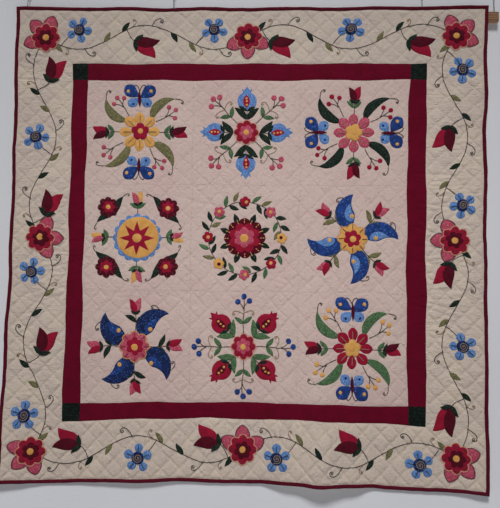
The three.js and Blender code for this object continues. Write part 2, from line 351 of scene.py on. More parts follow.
class Cloth(Enum):
    """The quilt's cottons."""

    BLOCK = Cotton("cream_rose_block_cotton", "#c2aea5", "#bfa6a0", cloud_mm=150.0, crinkle=2.5,
                   crinkle_mm=11.0)
    BORDER = Cotton("beige_mottled_border_cotton", "#c0b2a3", "#b7a89f", cloud_mm=55.0, fleck="#c4b6a9",
                    fleck_mm=7.0, fleck_share=0.3, crinkle=1.9, crinkle_run=1.3)
    # The foot and side borders are the border cotton again, with painted light: their ground, cloud and fleck
    # colours are lighter for how the light falls on them. Only their crinkle is really their own.
    FOOT_BORDER = Cotton("beige_mottled_border_cotton_slack", "#c7b7a7", "#beaea3", cloud_mm=55.0,
                         fleck="#cabcae", fleck_mm=7.0, fleck_share=0.3, crinkle=2.4)
    SIDE_BORDER = Cotton("beige_mottled_border_cotton_drawn_up", "#c5b6a6", "#bcaca2", cloud_mm=55.0,
                         fleck="#c9baac", fleck_mm=7.0, fleck_share=0.3, crinkle=2.4, crinkle_run=3.0)
    FRAME = Cotton("burgundy_frame_cotton", "#5f021f", "#57031a", cloud_mm=26.0, crinkle=1.6)
    CORNER = Cotton("dark_green_corner_print", "#0d1613", "#0a110f", fleck="#1b2b23", fleck_mm=6.0,
                    fleck_share=0.36)
    BINDING = Cotton("burgundy_binding_cotton", "#530c1e", "#4b091a", cloud_mm=22.0)
    BACKING = Cotton("unbleached_muslin_backing", "#d3c8b4", "#cec2ac", cloud_mm=90.0, fleck="#bfae92",
                     fleck_mm=8.0, fleck_share=0.09)
    CRIMSON = Cotton("crimson_mottled_cotton", "#8f1630", "#7f1029", cloud_mm=12.0)
    BURGUNDY = Cotton("burgundy_mottled_cotton", "#4f0c1d", "#430917", cloud_mm=12.0)
    ROSE = Cotton("rose_pink_print", "#a8475a", "#9c3c50", cloud_mm=10.0, fleck="#b9697a", fleck_mm=5.0,
                  fleck_share=0.34)
    GOLD = Cotton("gold_mottled_cotton", "#cb9a58", "#bf8a48", cloud_mm=12.0)
    SKY = Cotton("sky_blue_print", "#587cb0", "#4a6ca0", cloud_mm=11.0, fleck="#7f9fcb", fleck_mm=5.0,
                 fleck_share=0.32)
    ROYAL = Cotton("royal_blue_batik", "#24407f", "#192d5c", cloud_mm=13.0, fleck="#4468ad", fleck_mm=9.0,
                   fleck_share=0.22)
    NAVY = Cotton("navy_batik", "#1b2a55", "#121c3b", cloud_mm=10.0, fleck="#3c5590", fleck_mm=6.0,
                  fleck_share=0.28)
    PINE = Cotton("dark_green_leaf_print", "#1b2620", "#131b17", cloud_mm=10.0, fleck="#2f4237", fleck_mm=4.5,
                  fleck_share=0.33)
    OLIVE = Cotton("olive_speckled_print", "#666344", "#575436", cloud_mm=9.0, fleck="#827d5b", fleck_mm=4.0,
                   fleck_share=0.38)
    MEADOW = Cotton("meadow_green_print", "#486444", "#3a5238", cloud_mm=10.0, fleck="#5d7a56", fleck_mm=5.0,
                    fleck_share=0.34)


class Thread(Enum):
    """The threads of the embroidery, the edging and the quilting."""

    BROWN = Floss("black_brown_floss", "#211a16", "#2e2520")
    TAN = Floss("tan_floss", "#8a7455", "#77634a")
    PEACH = Floss("peach_floss", "#dca388", "#cf9276")
    WINE = Floss("wine_floss", "#5a0b20", "#480819")
    CREAM = Floss("cream_quilting_thread", "#cfc0ad", "#c1b09b")
    HONEY = Floss("honey_floss", "#dca75c", "#c99248")


@cache
def finish(kind: Cloth | Thread | Softwood | Steel | Plaster) -> Material:
    """Makes each finish once."""
    return kind.value.make() if isinstance(kind, Enum) else kind.make()


class Seed(IntEnum):
    """The numbers that keep the quilt's seeded ripples apart."""

    BILLOW = 1
    WRINKLE = 3
    SWELL = 4
    DRIFT_ACROSS = 7
    DRIFT_DOWN = 8
    RIPPLE_ACROSS = 11
    RIPPLE_DOWN = 12
    BINDING = 20
    TIGHTNESS = 30


# How many ripples waves adds up, how their wavelengths spread and how high they reach together.
RIPPLES = 11
RIPPLE_STRETCH = (0.7, 1.5)
RIPPLE_PEAK = 1.5


def waves(wavelength: float, seed: int, right: Array, down: Array) -> Array:
    """Adds up seeded ripples of many directions, for unevenness without a repeat.

    Args:
        wavelength: The ripples' middle wavelength.
        seed: Chooses directions and phases.
        right, down: Places on the flat quilt.

    Returns:
        Heights from about -1 to 1.
    """
    rng = np.random.default_rng(SEED + seed)
    turns, phases = rng.uniform(0, math.tau, RIPPLES), rng.uniform(0, math.tau, RIPPLES)
    total = np.zeros(np.shape(right))
    for turn, phase, stretch in zip(turns, phases, rng.uniform(*RIPPLE_STRETCH, RIPPLES)):
        run = (right * math.cos(turn) + down * math.sin(turn)) / (wavelength * stretch)
        total += np.sin(math.tau * run + phase)
    return total / (RIPPLE_PEAK * math.sqrt(RIPPLES))


def smooth(low: float, high: float, value: Array) -> Array:
    """Rises softly from 0 at low to 1 at high."""
    share = np.clip((value - low) / (high - low), 0, 1)
    return share * share * (3 - 2 * share)


@dataclass(frozen=True)
class Stray:
    """How far a seam strays from its ruled line at its start, its middle and its end."""

    start: float
    middle: float
    end: float


@dataclass(frozen=True)
class Fold:
    """How far the hem stands out from the wall at one place across it, from -1 to 1."""

    across: float
    out: float


UPRIGHT_STRAYS = (Stray(-1, 2, -19), Stray(-1, 2, -12), Stray(-1, 2, -3), Stray(0, 1, 2), Stray(0, -3, -2),
                  Stray(7, -10, 4), Stray(4, -1, 4), Stray(3, -3, 5))
LEVEL_STRAYS = (Stray(0, -4, 0), Stray(0, 2, 3), Stray(-1, -2, 2), Stray(2, 5, 5), Stray(4, 12, 9),
                Stray(-10, 9, 2), Stray(-21, 9, -11), Stray(-19, 0, -16))
HEM_FOLDS = (Fold(-1, -4), Fold(-0.78, -17), Fold(-0.45, -9), Fold(-0.2, -17), Fold(0.06, -17), Fold(0.2, 0),
             Fold(0.33, 19), Fold(0.43, 4), Fold(0.55, -16), Fold(0.85, -16), Fold(1, -8))


@dataclass(frozen=True)
class QuiltHang:
    """The quilt's layout, and the way from a place on the flat quilt to the hung cloth."""

    block: float = 12 * INCH
    strip: float = 1.75 * INCH
    border: float = 6.25 * INCH
    binding: float = 10.0
    cells: tuple[int, ...] = (6, 2, 12, 12, 12, 2, 6)
    back_y: float = -10.0
    top_z: float = 16.0
    wander: float = 1.3
    wander_waves: float = 5.5
    wander_shift: float = 0.31
    folds_start: float = 0.42
    folds_power: float = 1.8
    slack_from: float = 60.0
    slack_to: float = 260.0
    billow: float = 2.6
    billow_length: float = 210.0
    drift: float = 1.3
    drift_length: float = 140.0
    ripple: float = 0.5
    ripple_length: float = 42.0

    @property
    def half_field(self) -> float:
        """Half the width of the blocks."""
        return 1.5 * self.block

    @property
    def half_top(self) -> float:
        """Half the width of the quilt without its binding."""
        return self.half_field + self.strip + self.border

    @property
    def half(self) -> float:
        """Half the width of the whole quilt."""
        return self.half_top + self.binding

    @property
    def seams(self) -> Array:
        """The ruled lines of the seams, from one edge to the other."""
        widths = (self.border, self.strip, self.block, self.block, self.block, self.strip, self.border)
        return np.cumsum((-self.half_top, *widths))

    @property
    def seam_lines(self) -> tuple[int, ...]:
        """The numbers of the quilting grid's lines that the seams lie on."""
        return tuple(accumulate(self.cells, initial=0))

    @property
    def lines(self) -> Array:
        """The ruled lines of the quilting grid's cells."""
        return np.interp(np.arange(self.seam_lines[-1] + 1), self.seam_lines, self.seams)

    def ruled(self, start: int, end: int, fine: int) -> Array:
        """The places from one numbered line of the grid to another, in fine steps of each cell."""
        steps = np.linspace(start, end, (end - start) * fine + 1)
        return np.interp(steps, np.arange(len(self.lines)), self.lines)

    def stray(self, rows: Sequence[Stray], flat: Array, along: Array) -> Array:
        """Finds how far the cloth strays from its ruled place.

        Args:
            rows: The strays of the seams in one direction.
            flat: Places across these seams.
            along: Places along them.

        Returns:
            The stray of each place, blended between its two seams.
        """
        seams = self.seams
        table = np.array([(row.start, row.middle, row.end) for row in rows], float)
        share = (along + self.half) / (2 * self.half)

        def seam(number: Array) -> Array:
            """Finds the stray of numbered seams.

            Args:
                number: Each place's seam.

            Returns:
                Its stray at the place's share along it.
            """
            start, middle, end = np.moveaxis(table[number], -1, 0)
            bow = start * (1 - share) * (1 - 2 * share) + middle * 4 * share * (1 - share)
            ripple = np.sin(math.tau * (self.wander_waves * share + self.wander_shift * number))
            return bow + end * share * (2 * share - 1) + self.wander * ripple

        band = np.clip(np.searchsorted(seams, flat) - 1, 0, len(rows) - 2)
        between = np.clip((flat - seams[band]) / (seams[band + 1] - seams[band]), 0, 1)
        return seam(band) * (1 - between) + seam(band + 1) * between

    def fold_out(self, right: Array, down: Array) -> Array:
        """Finds how far the folds bring the cloth out from the wall.

        Args:
            right, down: Places on the flat quilt.

        Returns:
            Distances from the flat quilt's back.
        """
        places = np.array([fold.across for fold in HEM_FOLDS])
        outs = np.array([fold.out for fold in HEM_FOLDS], float)
        across = np.clip(right / self.half, -1, 1)
        band = np.clip(np.searchsorted(places, across) - 1, 0, len(places) - 2)
        blend = smooth(0, 1, (across - places[band]) / (places[band + 1] - places[band]))
        out = outs[band] * (1 - blend) + outs[band + 1] * blend
        drop = (down + self.half) / (2 * self.half)
        rise = np.maximum(0, (drop - self.folds_start) / (1 - self.folds_start)) ** self.folds_power
        slack = smooth(self.slack_from - self.half, self.slack_to - self.half, down)
        billow = self.billow * slack * (1 + waves(self.billow_length, Seed.BILLOW, right, down)) / 2
        return out * rise + billow

    def uneven(self, drift: Seed, ripple: Seed, right: Array, down: Array) -> Array:
        """Finds how far the sewing and the puckers draw the cloth out of true."""
        return (self.drift * waves(self.drift_length, drift, right, down)
                + self.ripple * waves(self.ripple_length, ripple, right, down))

    def hang(self, right: Array, down: Array, proud: Array | float) -> Array:
        """Turns places on the flat quilt into places of the hung cloth.

        Args:
            right, down: Places on the flat quilt.
            proud: Heights above the backing.

        Returns:
            An array of points in metres.
        """
        right, down = np.asarray(right, float), np.asarray(down, float)
        x = (right + self.stray(UPRIGHT_STRAYS, right, down)
             + self.uneven(Seed.DRIFT_ACROSS, Seed.RIPPLE_ACROSS, right, down))
        z = (self.top_z - self.half - down + self.stray(LEVEL_STRAYS, down, right)
             + self.uneven(Seed.DRIFT_DOWN, Seed.RIPPLE_DOWN, right, down))
        y = self.back_y - self.fold_out(right, down) - proud
        return np.stack(np.broadcast_arrays(x, y, z), axis=-1) * MM


@dataclass(frozen=True)
class Patch:
    """A piece of cloth sewn on the quilt top, with its outline in motif or quilt places."""

    outline: Array
    cloth: Cloth
    layer: int = 0
    edge: Thread | None = None

    def depth(self, right: Array, down: Array) -> Array:
        """Finds how deep places lie inside the outline.

        Args:
            right, down: Places on the flat quilt.

        Returns:
            Depths, below 0 outside it.
        """
        start, end = self.outline, np.roll(self.outline, -1, axis=0)
        run = end - start
        to_x = right[:, None] - start[:, 0]
        to_y = down[:, None] - start[:, 1]
        share = np.clip((to_x * run[:, 0] + to_y * run[:, 1]) / (run ** 2).sum(1), 0, 1)
        gap = np.hypot(to_x - share * run[:, 0], to_y - share * run[:, 1]).min(1)
        spans = (start[:, 1] > down[:, None]) != (end[:, 1] > down[:, None])
        height = np.where(np.abs(run[:, 1]) < TINY, TINY, run[:, 1])
        crossings = spans & (right[:, None] < start[:, 0] + to_y * run[:, 0] / height)
        return np.where(crossings.sum(1) % 2 == 1, gap, -gap)


@dataclass(frozen=True)
class Line:
    """An embroidered line, on the ground cloth or on a patch of a numbered layer."""

    points: Array
    thread: Thread
    on: int | None = None


def turned(points: Array, at: Sequence[float], turn: float) -> Array:
    """Turns points and then moves them.

    Args:
        points: Places to the right and up.
        at: How far they move.
        turn: Degrees clockwise.

    Returns:
        The moved points.
    """
    angle = math.radians(turn)
    across = points[:, 0] * math.cos(angle) + points[:, 1] * math.sin(angle)
    up = points[:, 1] * math.cos(angle) - points[:, 0] * math.sin(angle)
    return np.column_stack((across + at[0], up + at[1]))


def polar(radius: float, angle: float) -> tuple[float, float]:
    """The place at a distance from the middle, with the angle clockwise from upright."""
    return radius * math.sin(math.radians(angle)), radius * math.cos(math.radians(angle))


@dataclass
class Pattern:
    """Patches and embroidered lines that belong together."""

    patches: list[Patch] = field(default_factory=list)
    lines: list[Line] = field(default_factory=list)

    def lay(self, outline: Array, cloth: Cloth, at: Sequence[float] = (0, 0), turn: float = 0,
            layer: int = 0, edge: Thread | None = None) -> None:
        """Lays one patch.

        Args:
            outline: The patch's outline.
            cloth: What it is cut from.
            at: Where its own origin goes.
            turn: Degrees clockwise.
            layer: How many patches it lies on.
            edge: The thread of its satin edge, or None.
        """
        self.patches.append(Patch(turned(outline, at, turn), cloth, layer, edge))

    def sew(self, points: Array, thread: Thread, at: Sequence[float] = (0, 0), turn: float = 0,
            on: int | None = None) -> None:
        """Sews one line.

        Args:
            points: The line's points.
            thread: The thread.
            at: Where the line's own origin goes.
            turn: Degrees clockwise.
            on: The layer that it is sewn on, or None for the ground.
        """
        self.lines.append(Line(turned(np.asarray(points, float), at, turn), thread, on))

    def put(self, other: "Pattern", at: Sequence[float] = (0, 0), turn: float = 0) -> None:
        """Puts another pattern into this one, turned clockwise by degrees and then moved."""
        self.patches += [replace(patch, outline=turned(patch.outline, at, turn)) for patch in other.patches]
        self.lines += [replace(line, points=turned(line.points, at, turn)) for line in other.lines]


def blade(length: float, width: float, curl: float = 0, belly: float = 0.85,
          point: float = 0.9) -> Array:
    """Draws a leaf or petal from its stalk at the origin.

    Args:
        length: Along its spine.
        width: Where it is widest.
        curl: Degrees that the spine turns to the right from stalk to tip.
        belly: Below 1 it is widest near the stalk, above 1 near the tip.
        point: Near 1 for pointed ends, near 0.5 for round ones.

    Returns:
        The outline.
    """
    share = (1 - np.cos(np.linspace(0, math.pi, max(13, round(length / 4.5))))) / 2
    heading = np.radians(curl) * (share - 0.35)
    ahead = np.column_stack((np.sin(heading), np.cos(heading)))
    step = (ahead[1:] + ahead[:-1]) / 2 * np.diff(share)[:, None] * length
    spine = np.vstack(([0, 0], np.cumsum(step, axis=0)))
    half = width / 2 * np.sin(math.pi * share ** belly).clip(0) ** point
    aside = np.column_stack((np.cos(heading), -np.sin(heading))) * half[:, None]
    return np.vstack((spine + aside, (spine - aside)[-2:0:-1]))


def scallop(radius: float, lobes: int = 0, depth: float = 0.0) -> Array:
    """Draws a disc, or a rosette with round lobes.

    Args:
        radius: To its rim.
        lobes: How many, or 0 for a disc.
        depth: Of the hollows, as a share.

    Returns:
        The outline.
    """
    count = max(16, lobes * 8, round(radius * 1.3))
    angle = np.linspace(0, math.tau, count, endpoint=False)
    hollow = depth * (1 - np.abs(np.cos(lobes * angle / 2)) ** 0.8) if lobes else 0 * angle
    reach = radius * (1 - hollow)
    return np.column_stack((reach * np.sin(angle), reach * np.cos(angle)))


def star(points: int, radius: float, inner: float) -> Array:
    """Draws the outline of a star with straight sides, by the radii of its points and its inner corners."""
    angle = np.arange(2 * points) * math.pi / points
    return np.column_stack((np.sin(angle), np.cos(angle))) * np.resize((radius, inner), 2 * points)[:, None]


def pomegranate(radius: float) -> Array:
    """Draws a round fruit with a crown, its stalk at the origin.

    Args:
        radius: Of the fruit.

    Returns:
        The outline.
    """
    angle = np.radians(np.linspace(155, -155, 30))
    body = np.column_stack((np.sin(angle), -np.cos(angle))) * radius
    crown = np.array(((-0.62, 1.52), (-0.3, 1.16), (0, 1.6), (0.3, 1.16), (0.62, 1.52))) * radius
    return np.vstack((body, crown)) + (0, radius)


def tendril(length: float, sway: float, curl: float) -> Array:
    """Draws a line that sways and then winds up.

    Args:
        length: Of the line.
        sway: Degrees that it first leans.
        curl: Degrees that it winds by its end.

    Returns:
        The points.
    """
    share = np.linspace(0, 1, 36)
    heading = np.radians(sway * np.cos(math.pi * share) + curl * share ** 2.4)
    step = (1.3 - 0.85 * share) * length / len(share)
    run = np.column_stack((np.sin(heading), np.cos(heading))) * step[:, None]
    return np.vstack(([0, 0], np.cumsum(run, axis=0)))


def rose(radius: float, outer: Cloth, inner: Cloth, edge: Thread | None = None, layer: int = 0) -> Pattern:
    """Makes a layered rose with a gold middle and stitched rays.

    Args:
        radius: Of its outer petals.
        outer: The outer petals' cloth.
        inner: The inner petals' cloth.
        edge: The thread of its satin edge, or None.
        layer: How many patches the rose lies on.

    Returns:
        The rose.
    """
    flower = Pattern()
    flower.lay(scallop(radius, 8, 0.2), outer, layer=layer, edge=edge)
    flower.lay(scallop(radius * 0.62, 6, 0.24), inner, turn=14, layer=layer + 1)
    flower.lay(scallop(radius * 0.25, 10, 0.1), Cloth.GOLD, layer=layer + 2)
    for ray in range(8):
        start, end = polar(radius * 0.68, ray * 45), polar(radius * 0.88, ray * 45)
        flower.sew([start, end], Thread.WINE, on=layer)
    return flower


def daisy(radius: float, petals: Cloth, heart: Cloth) -> Pattern:
    """Makes a flower of eight petals round a small rosette.

    Args:
        radius: To the petals' tips.
        petals: Their cloth.
        heart: The rosette's cloth.

    Returns:
        The flower.
    """
    flower = Pattern()
    for petal in range(8):
        at = polar(radius * 0.26, petal * 45)
        outline = blade(radius * 0.74, radius * 0.5, belly=1.3, point=0.66)
        flower.lay(outline, petals, at, petal * 45, layer=petal % 2)
        flower.sew([(0, radius * 0.2), (0, radius * 0.5)], Thread.TAN, at, petal * 45, on=1)
    flower.lay(scallop(radius * 0.44, 5, 0.26), heart, layer=2)
    flower.lay(scallop(radius * 0.15), Cloth.GOLD, layer=3)
    return flower


def cornflower(radius: float) -> Pattern:
    """Makes a blue flower of five round petals with a dark batik middle.

    Args:
        radius: To the petals' tips.

    Returns:
        The flower.
    """
    flower = Pattern()
    for petal in range(5):
        outline = blade(radius * 0.82, radius * 0.66, belly=1.55, point=0.6)
        flower.lay(outline, Cloth.SKY, polar(radius * 0.2, petal * 72), petal * 72, layer=petal % 2)
        flower.sew([polar(radius * 0.52, petal * 72), polar(radius * 0.8, petal * 72)], Thread.BROWN, on=1)
    flower.lay(scallop(radius * 0.44), Cloth.NAVY, layer=2)
    angle = np.linspace(0, 2.2 * math.tau, 40)
    spiral = np.column_stack((np.sin(angle), np.cos(angle))) * (radius * 0.33 * angle / angle[-1])[:, None]
    flower.sew(spiral, Thread.TAN, on=2)
    return flower


def butterfly(span: float, wings: Cloth, spots: Cloth) -> Pattern:
    """Makes a butterfly with open wings, its head upwards.

    Args:
        span: Of its wings.
        wings: The upper wings' cloth.
        spots: Their spots' cloth.

    Returns:
        The butterfly.
    """
    insect = Pattern()
    for side in (-1, 1):
        mirror = np.array((side, 1))
        upper = turned(blade(span * 0.56, span * 0.4, -30, 1.5, 0.62), (0, span * 0.04), 56) * mirror
        lower = turned(blade(span * 0.42, span * 0.32, 26, 1.4, 0.62), (0, -span * 0.02), 126) * mirror
        insect.lay(lower, Cloth.SKY)
        insect.lay(upper, wings, layer=1)
        insect.lay(scallop(span * 0.062), spots, (side * span * 0.35, span * 0.22), layer=2)
        insect.lay(scallop(span * 0.045), Cloth.NAVY, (side * span * 0.22, -span * 0.2), layer=1)
        feeler = tendril(span * 0.32, 8, 190) * mirror
        insect.sew(turned(feeler, (0, span * 0.24), side * 14), Thread.BROWN)
    insect.lay(blade(span * 0.52, span * 0.1), Cloth.BURGUNDY, (0, -span * 0.26), layer=3)
    return insect


def scroll_leaf(length: float, width: float, curl: float, cloth: Cloth) -> Pattern:
    """Makes a bent leaf whose tip runs out in a stitched curl, its stalk at the origin.

    Args:
        length: Along its spine.
        width: Where it is widest.
        curl: Degrees that it bends.
        cloth: What it is cut from.

    Returns:
        The leaf.
    """
    leaf = Pattern()
    outline = blade(length, width, curl)
    leaf.lay(outline, cloth)
    leaf.sew(tendril(length * 0.42, 0, curl * 4.4), Thread.BROWN, outline[len(outline) // 2], curl * 0.65)
    return leaf


def bud(length: float, dark: Cloth, light: Cloth) -> Pattern:
    """Makes an almond bud of two petals in a small green cup, its stalk at the origin.

    Args:
        length: Of the bud.
        dark: The front petal's cloth.
        light: The back petal's cloth.

    Returns:
        The bud.
    """
    flower = Pattern()
    flower.lay(blade(length, length * 0.5, 46, 0.8), light, (length * 0.07, 0), 9)
    flower.lay(blade(length * 0.94, length * 0.42, -50, 0.8), dark, (-length * 0.05, 0), -12, layer=1)
    for lean in (-52, 52):
        flower.lay(blade(length * 0.4, length * 0.17, lean * 0.7), Cloth.PINE, (0, -2), lean, layer=2)
    return flower


def fruit(radius: float, skin: Cloth, inside: Cloth) -> Pattern:
    """Makes a pomegranate cut open to its seeds, its stalk at the origin.

    Args:
        radius: Of the fruit.
        skin: Its skin's cloth.
        inside: The cloth round its seeds.

    Returns:
        The fruit.
    """
    whole = Pattern()
    whole.lay(pomegranate(radius), skin)
    whole.lay(blade(radius * 1.5, radius * 0.78, belly=1.0), inside, (0, radius * 0.24), layer=1)
    for height in (0.62, 0.98, 1.32):
        whole.lay(scallop(radius * 0.13), Cloth.GOLD, (0, radius * height), layer=2)
    for lean in (-58, 58):
        whole.lay(blade(radius * 0.95, radius * 0.4, lean * 0.5), Cloth.PINE, (0, 0), lean, layer=1)
    return whole


def sprig(length: float, berries: Cloth, size: float) -> Pattern:
    """Makes three berries on a forked stem, its foot at the origin.

    Args:
        length: Of the stem.
        berries: Their cloth.
        size: A berry's radius.

    Returns:
        The sprig.
    """
    twig = Pattern()
    tip = (0, length)
    twig.sew([(0, 0), (length * 0.08, length * 0.5), tip], Thread.BROWN)
    twig.lay(scallop(size), berries, tip, layer=1)
    for side in (-1, 1):
        end = (side * length * 0.27, length * 0.8)
        twig.sew([(0, length * 0.48), (side * length * 0.08, length * 0.68), end], Thread.BROWN)
        twig.lay(scallop(size), berries, end, layer=1)
    return twig


def daisy_block(petals: Cloth, heart: Cloth, leaves: Cloth, berries: Cloth) -> Pattern:
    """Lays out a daisy between two butterflies, two buds, four whirling leaves and four sprigs.

    Args:
        petals, heart, leaves, berries: The cloth that each is cut from.

    Returns:
        The block.
    """
    block = Pattern()
    for side in (0, 180):
        block.put(butterfly(92, Cloth.ROYAL, Cloth.GOLD), polar(100, side), side)
        arm = side + 90
        block.sew([polar(52, arm), polar(76, arm + 1), polar(96, arm - 1)], Thread.BROWN)
        for lean in (-1, 1):
            block.lay(blade(32, 13, lean * 30), Cloth.MEADOW, polar(70, arm), arm + lean * 44)
        block.put(bud(52, Cloth.BURGUNDY, Cloth.CRIMSON), polar(88, arm), arm)
    for corner in range(45, 360, 90):
        block.put(scroll_leaf(106, 28, 92, leaves), polar(46, corner), corner - 12)
        block.put(sprig(64, berries, 6.5), polar(58, corner + 12), corner + 13)
    block.put(daisy(58, petals, heart))
    return block


def fruit_block(skin: Cloth, inside: Cloth, leaves: Cloth, berries: Cloth) -> Pattern:
    """Lays out four pomegranates on crossed stems round a rose, with berries between them.

    Args:
        skin, inside, leaves, berries: The cloth that each is cut from.

    Returns:
        The block.
    """
    block = Pattern()
    for arm in range(0, 360, 90):
        block.sew([polar(26, arm), polar(66, arm)], Thread.BROWN)
        block.put(fruit(28, skin, inside), polar(62, arm), arm)
        for lean in (-1, 1):
            block.lay(blade(52, 19, lean * 34), leaves, polar(36, arm), arm + lean * 40)
        block.sew([polar(26, arm + 45), polar(50, arm + 43), polar(76, arm + 45)], Thread.BROWN)
        block.put(sprig(62, berries, 8), polar(76, arm + 45), arm + 45)
        for lean in (-1, 1):
            block.lay(blade(34, 14, lean * 20), Cloth.MEADOW, polar(62, arm + 45), arm + 45 + lean * 48)
            curl = tendril(56, lean * 10, lean * 420)
            block.sew(curl, Thread.TAN, polar(90, arm + 45), arm + 45 + lean * 52)
    block.put(rose(36, Cloth.CRIMSON, Cloth.ROSE, Thread.PEACH, layer=1))
    return block


def star_block() -> Pattern:
    """Lays out a gold star on a scalloped blue disc, with a rose and leaves in each corner.

    Returns:
        The block.
    """
    block = Pattern()
    block.lay(scallop(70, 16, 0.1), Cloth.SKY)
    block.lay(scallop(60), Cloth.GOLD, layer=1)
    block.lay(star(8, 53, 25), Cloth.CRIMSON, layer=2)
    block.lay(scallop(14), Cloth.GOLD, layer=3)
    for corner in range(45, 360, 90):
        for lean in (-1, 1):
            block.put(scroll_leaf(62, 21, lean * 56, Cloth.PINE), polar(92, corner), corner + lean * 62)
        block.put(rose(31, Cloth.BURGUNDY, Cloth.CRIMSON, layer=1), polar(120, corner), corner)
        block.sew([polar(70, corner - 45), polar(98, corner - 45)], Thread.BROWN)
        block.put(bud(42, Cloth.ROSE, Cloth.GOLD), polar(94, corner - 45), corner - 45)
        for lean in (-1, 1):
            block.lay(blade(30, 13, lean * 30), Cloth.MEADOW, polar(82, corner - 45), corner - 45 + lean * 52)
    return block


def wreath_block() -> Pattern:
    """Lays out a great rose inside a wreath of leaves and small flowers.

    Returns:
        The block.
    """
    block = Pattern()
    radius = 104
    block.sew([polar(radius, angle) for angle in range(0, 365, 5)], Thread.BROWN)
    greens = (Cloth.PINE, Cloth.MEADOW, Cloth.PINE, Cloth.OLIVE)
    for number in range(48):
        angle = number * 7.5 + 3.75
        if abs((angle + 22.5) % 45 - 22.5) > 6:
            lean, turn = (40, 16) if number % 2 else (140, -16)
            block.lay(blade(34, 14, turn), greens[number % 7 % 4], polar(radius, angle), angle + lean)
    for number, angle in enumerate(range(0, 360, 45)):
        petals = (Cloth.CRIMSON, Cloth.ROSE, Cloth.GOLD)[number % 3]
        block.lay(scallop(16, 5, 0.24), petals, polar(radius, angle), angle, layer=1)
        block.lay(scallop(5.5), (Cloth.GOLD, Cloth.BURGUNDY)[number % 3 == 2], polar(radius, angle), layer=2)
    for number in range(8):
        block.lay(blade(32, 17), Cloth.PINE, polar(44, number * 45 + 22), number * 45 + 22)
    block.lay(scallop(58, 8, 0.2), Cloth.BURGUNDY, layer=1)
    block.lay(scallop(45, 8, 0.2), Cloth.CRIMSON, turn=22, layer=2)
    block.lay(scallop(30, 6, 0.22), Cloth.ROSE, layer=3)
    block.lay(scallop(13, 10, 0.1), Cloth.GOLD, layer=4)
    for ray in range(16):
        block.sew([polar(46, ray * 22.5), polar(53, ray * 22.5)], Thread.HONEY, on=1)
    return block


def paisley_block(drops: Cloth, drop_hearts: Cloth, middle: Cloth, leaves: Cloth) -> Pattern:
    """Lays out four whirling drops round a rosette, with buds between them.

    Args:
        drops, drop_hearts, middle, leaves: The cloth that each is cut from.

    Returns:
        The block.
    """
    block = Pattern()
    for arm in range(0, 360, 90):
        block.lay(blade(108, 54, 118, 0.62), drops, polar(38, arm), arm - 16)
        block.lay(blade(58, 25, 66, 0.62), drop_hearts, polar(49, arm), arm - 16, layer=1)
        block.lay(scallop(6.5), Cloth.GOLD, polar(64, arm - 3), layer=2)
        block.sew([polar(34, arm + 45), polar(70, arm + 49), polar(96, arm + 45)], Thread.BROWN)
        block.put(bud(48, Cloth.CRIMSON, Cloth.ROSE), polar(90, arm + 45), arm + 43)
        for lean in (-1, 1):
            block.lay(blade(42, 16, lean * 40), leaves, polar(66, arm + 47), arm + 45 + lean * 56)
        block.sew(tendril(62, -18, -420), Thread.BROWN, polar(116, arm - 6), arm - 58)
    block.put(rose(42, middle, Cloth.CRIMSON, Thread.HONEY, layer=1))
    return block


@dataclass(frozen=True)
class BorderVine:
    """A vine that winds round the border, with a flower in every hollow."""

    middle: float
    sway: float = 36.0
    bends: int = 3

    def side(self) -> Pattern:
        """Draws one side, as it lies along the top, with the rosette of its right corner.

        Returns:
            The side.
        """
        vine = Pattern()
        bend = self.middle / self.bends

        def at(along: float) -> tuple[float, float]:
            """The vine's own place at a distance along the side."""
            return along, self.middle + self.sway * math.sin(math.pi * along / bend)

        vine.sew([at(along) for along in np.linspace(-self.middle + 34, self.middle - 34, 180)], Thread.BROWN)
        for number in range(-self.bends, self.bends):
            crest = (number + 0.5) * bend
            out = math.copysign(1, math.sin(math.pi * crest / bend))
            hollow = (crest, self.middle - out * 22)
            if number % 2:
                vine.put(cornflower(38), hollow, number * 40)
                vine.sew([hollow, (crest - 26, self.middle - out * 16), at(crest - 52)], Thread.BROWN)
            else:
                start = at(crest - 56)
                vine.put(bud(80, Cloth.BURGUNDY, Cloth.CRIMSON), (crest - 34, self.middle - out * 12),
                         90 + out * 20)
                vine.sew([start, (crest - 46, self.middle - out * 6), (crest - 32, self.middle - out * 12)],
                         Thread.BROWN)
            for shift, lean in ((-0.36, 34), (0.36, 146)):
                leaf_at = at(crest + shift * bend)
                vine.lay(blade(38, 15, 20 * out), (Cloth.PINE, Cloth.OLIVE)[number % 2], leaf_at,
                         lean if out > 0 else 180 - lean)
            vine.sew(tendril(78, -26 * out, 470 * out), Thread.BROWN, at(crest + 16), 90 - out * 34)
            vine.sew(tendril(52, 22 * out, -400 * out), Thread.TAN, at(crest - 0.22 * bend), 90 - out * 62)
        for along in (0, self.middle):
            self.rosette(vine, along)
        return vine

    def rosette(self, vine: Pattern, along: float) -> None:
        """Lays a rose with three pink petals at the side's middle or its corner.

        Args:
            vine: What it is laid on.
            along: Its place along the side, 0 for the middle.
        """
        turn = 45 if along else 180
        for lean in (-64, 0, 64):
            vine.lay(blade(66, 40, belly=1.3, point=0.7), Cloth.ROSE, (along, self.middle), turn + lean,
                     edge=Thread.WINE)
        vine.put(rose(41, Cloth.CRIMSON, Cloth.BURGUNDY, Thread.PEACH, layer=1), (along, self.middle), turn)


SIDES = ("top", "right", "foot", "left")


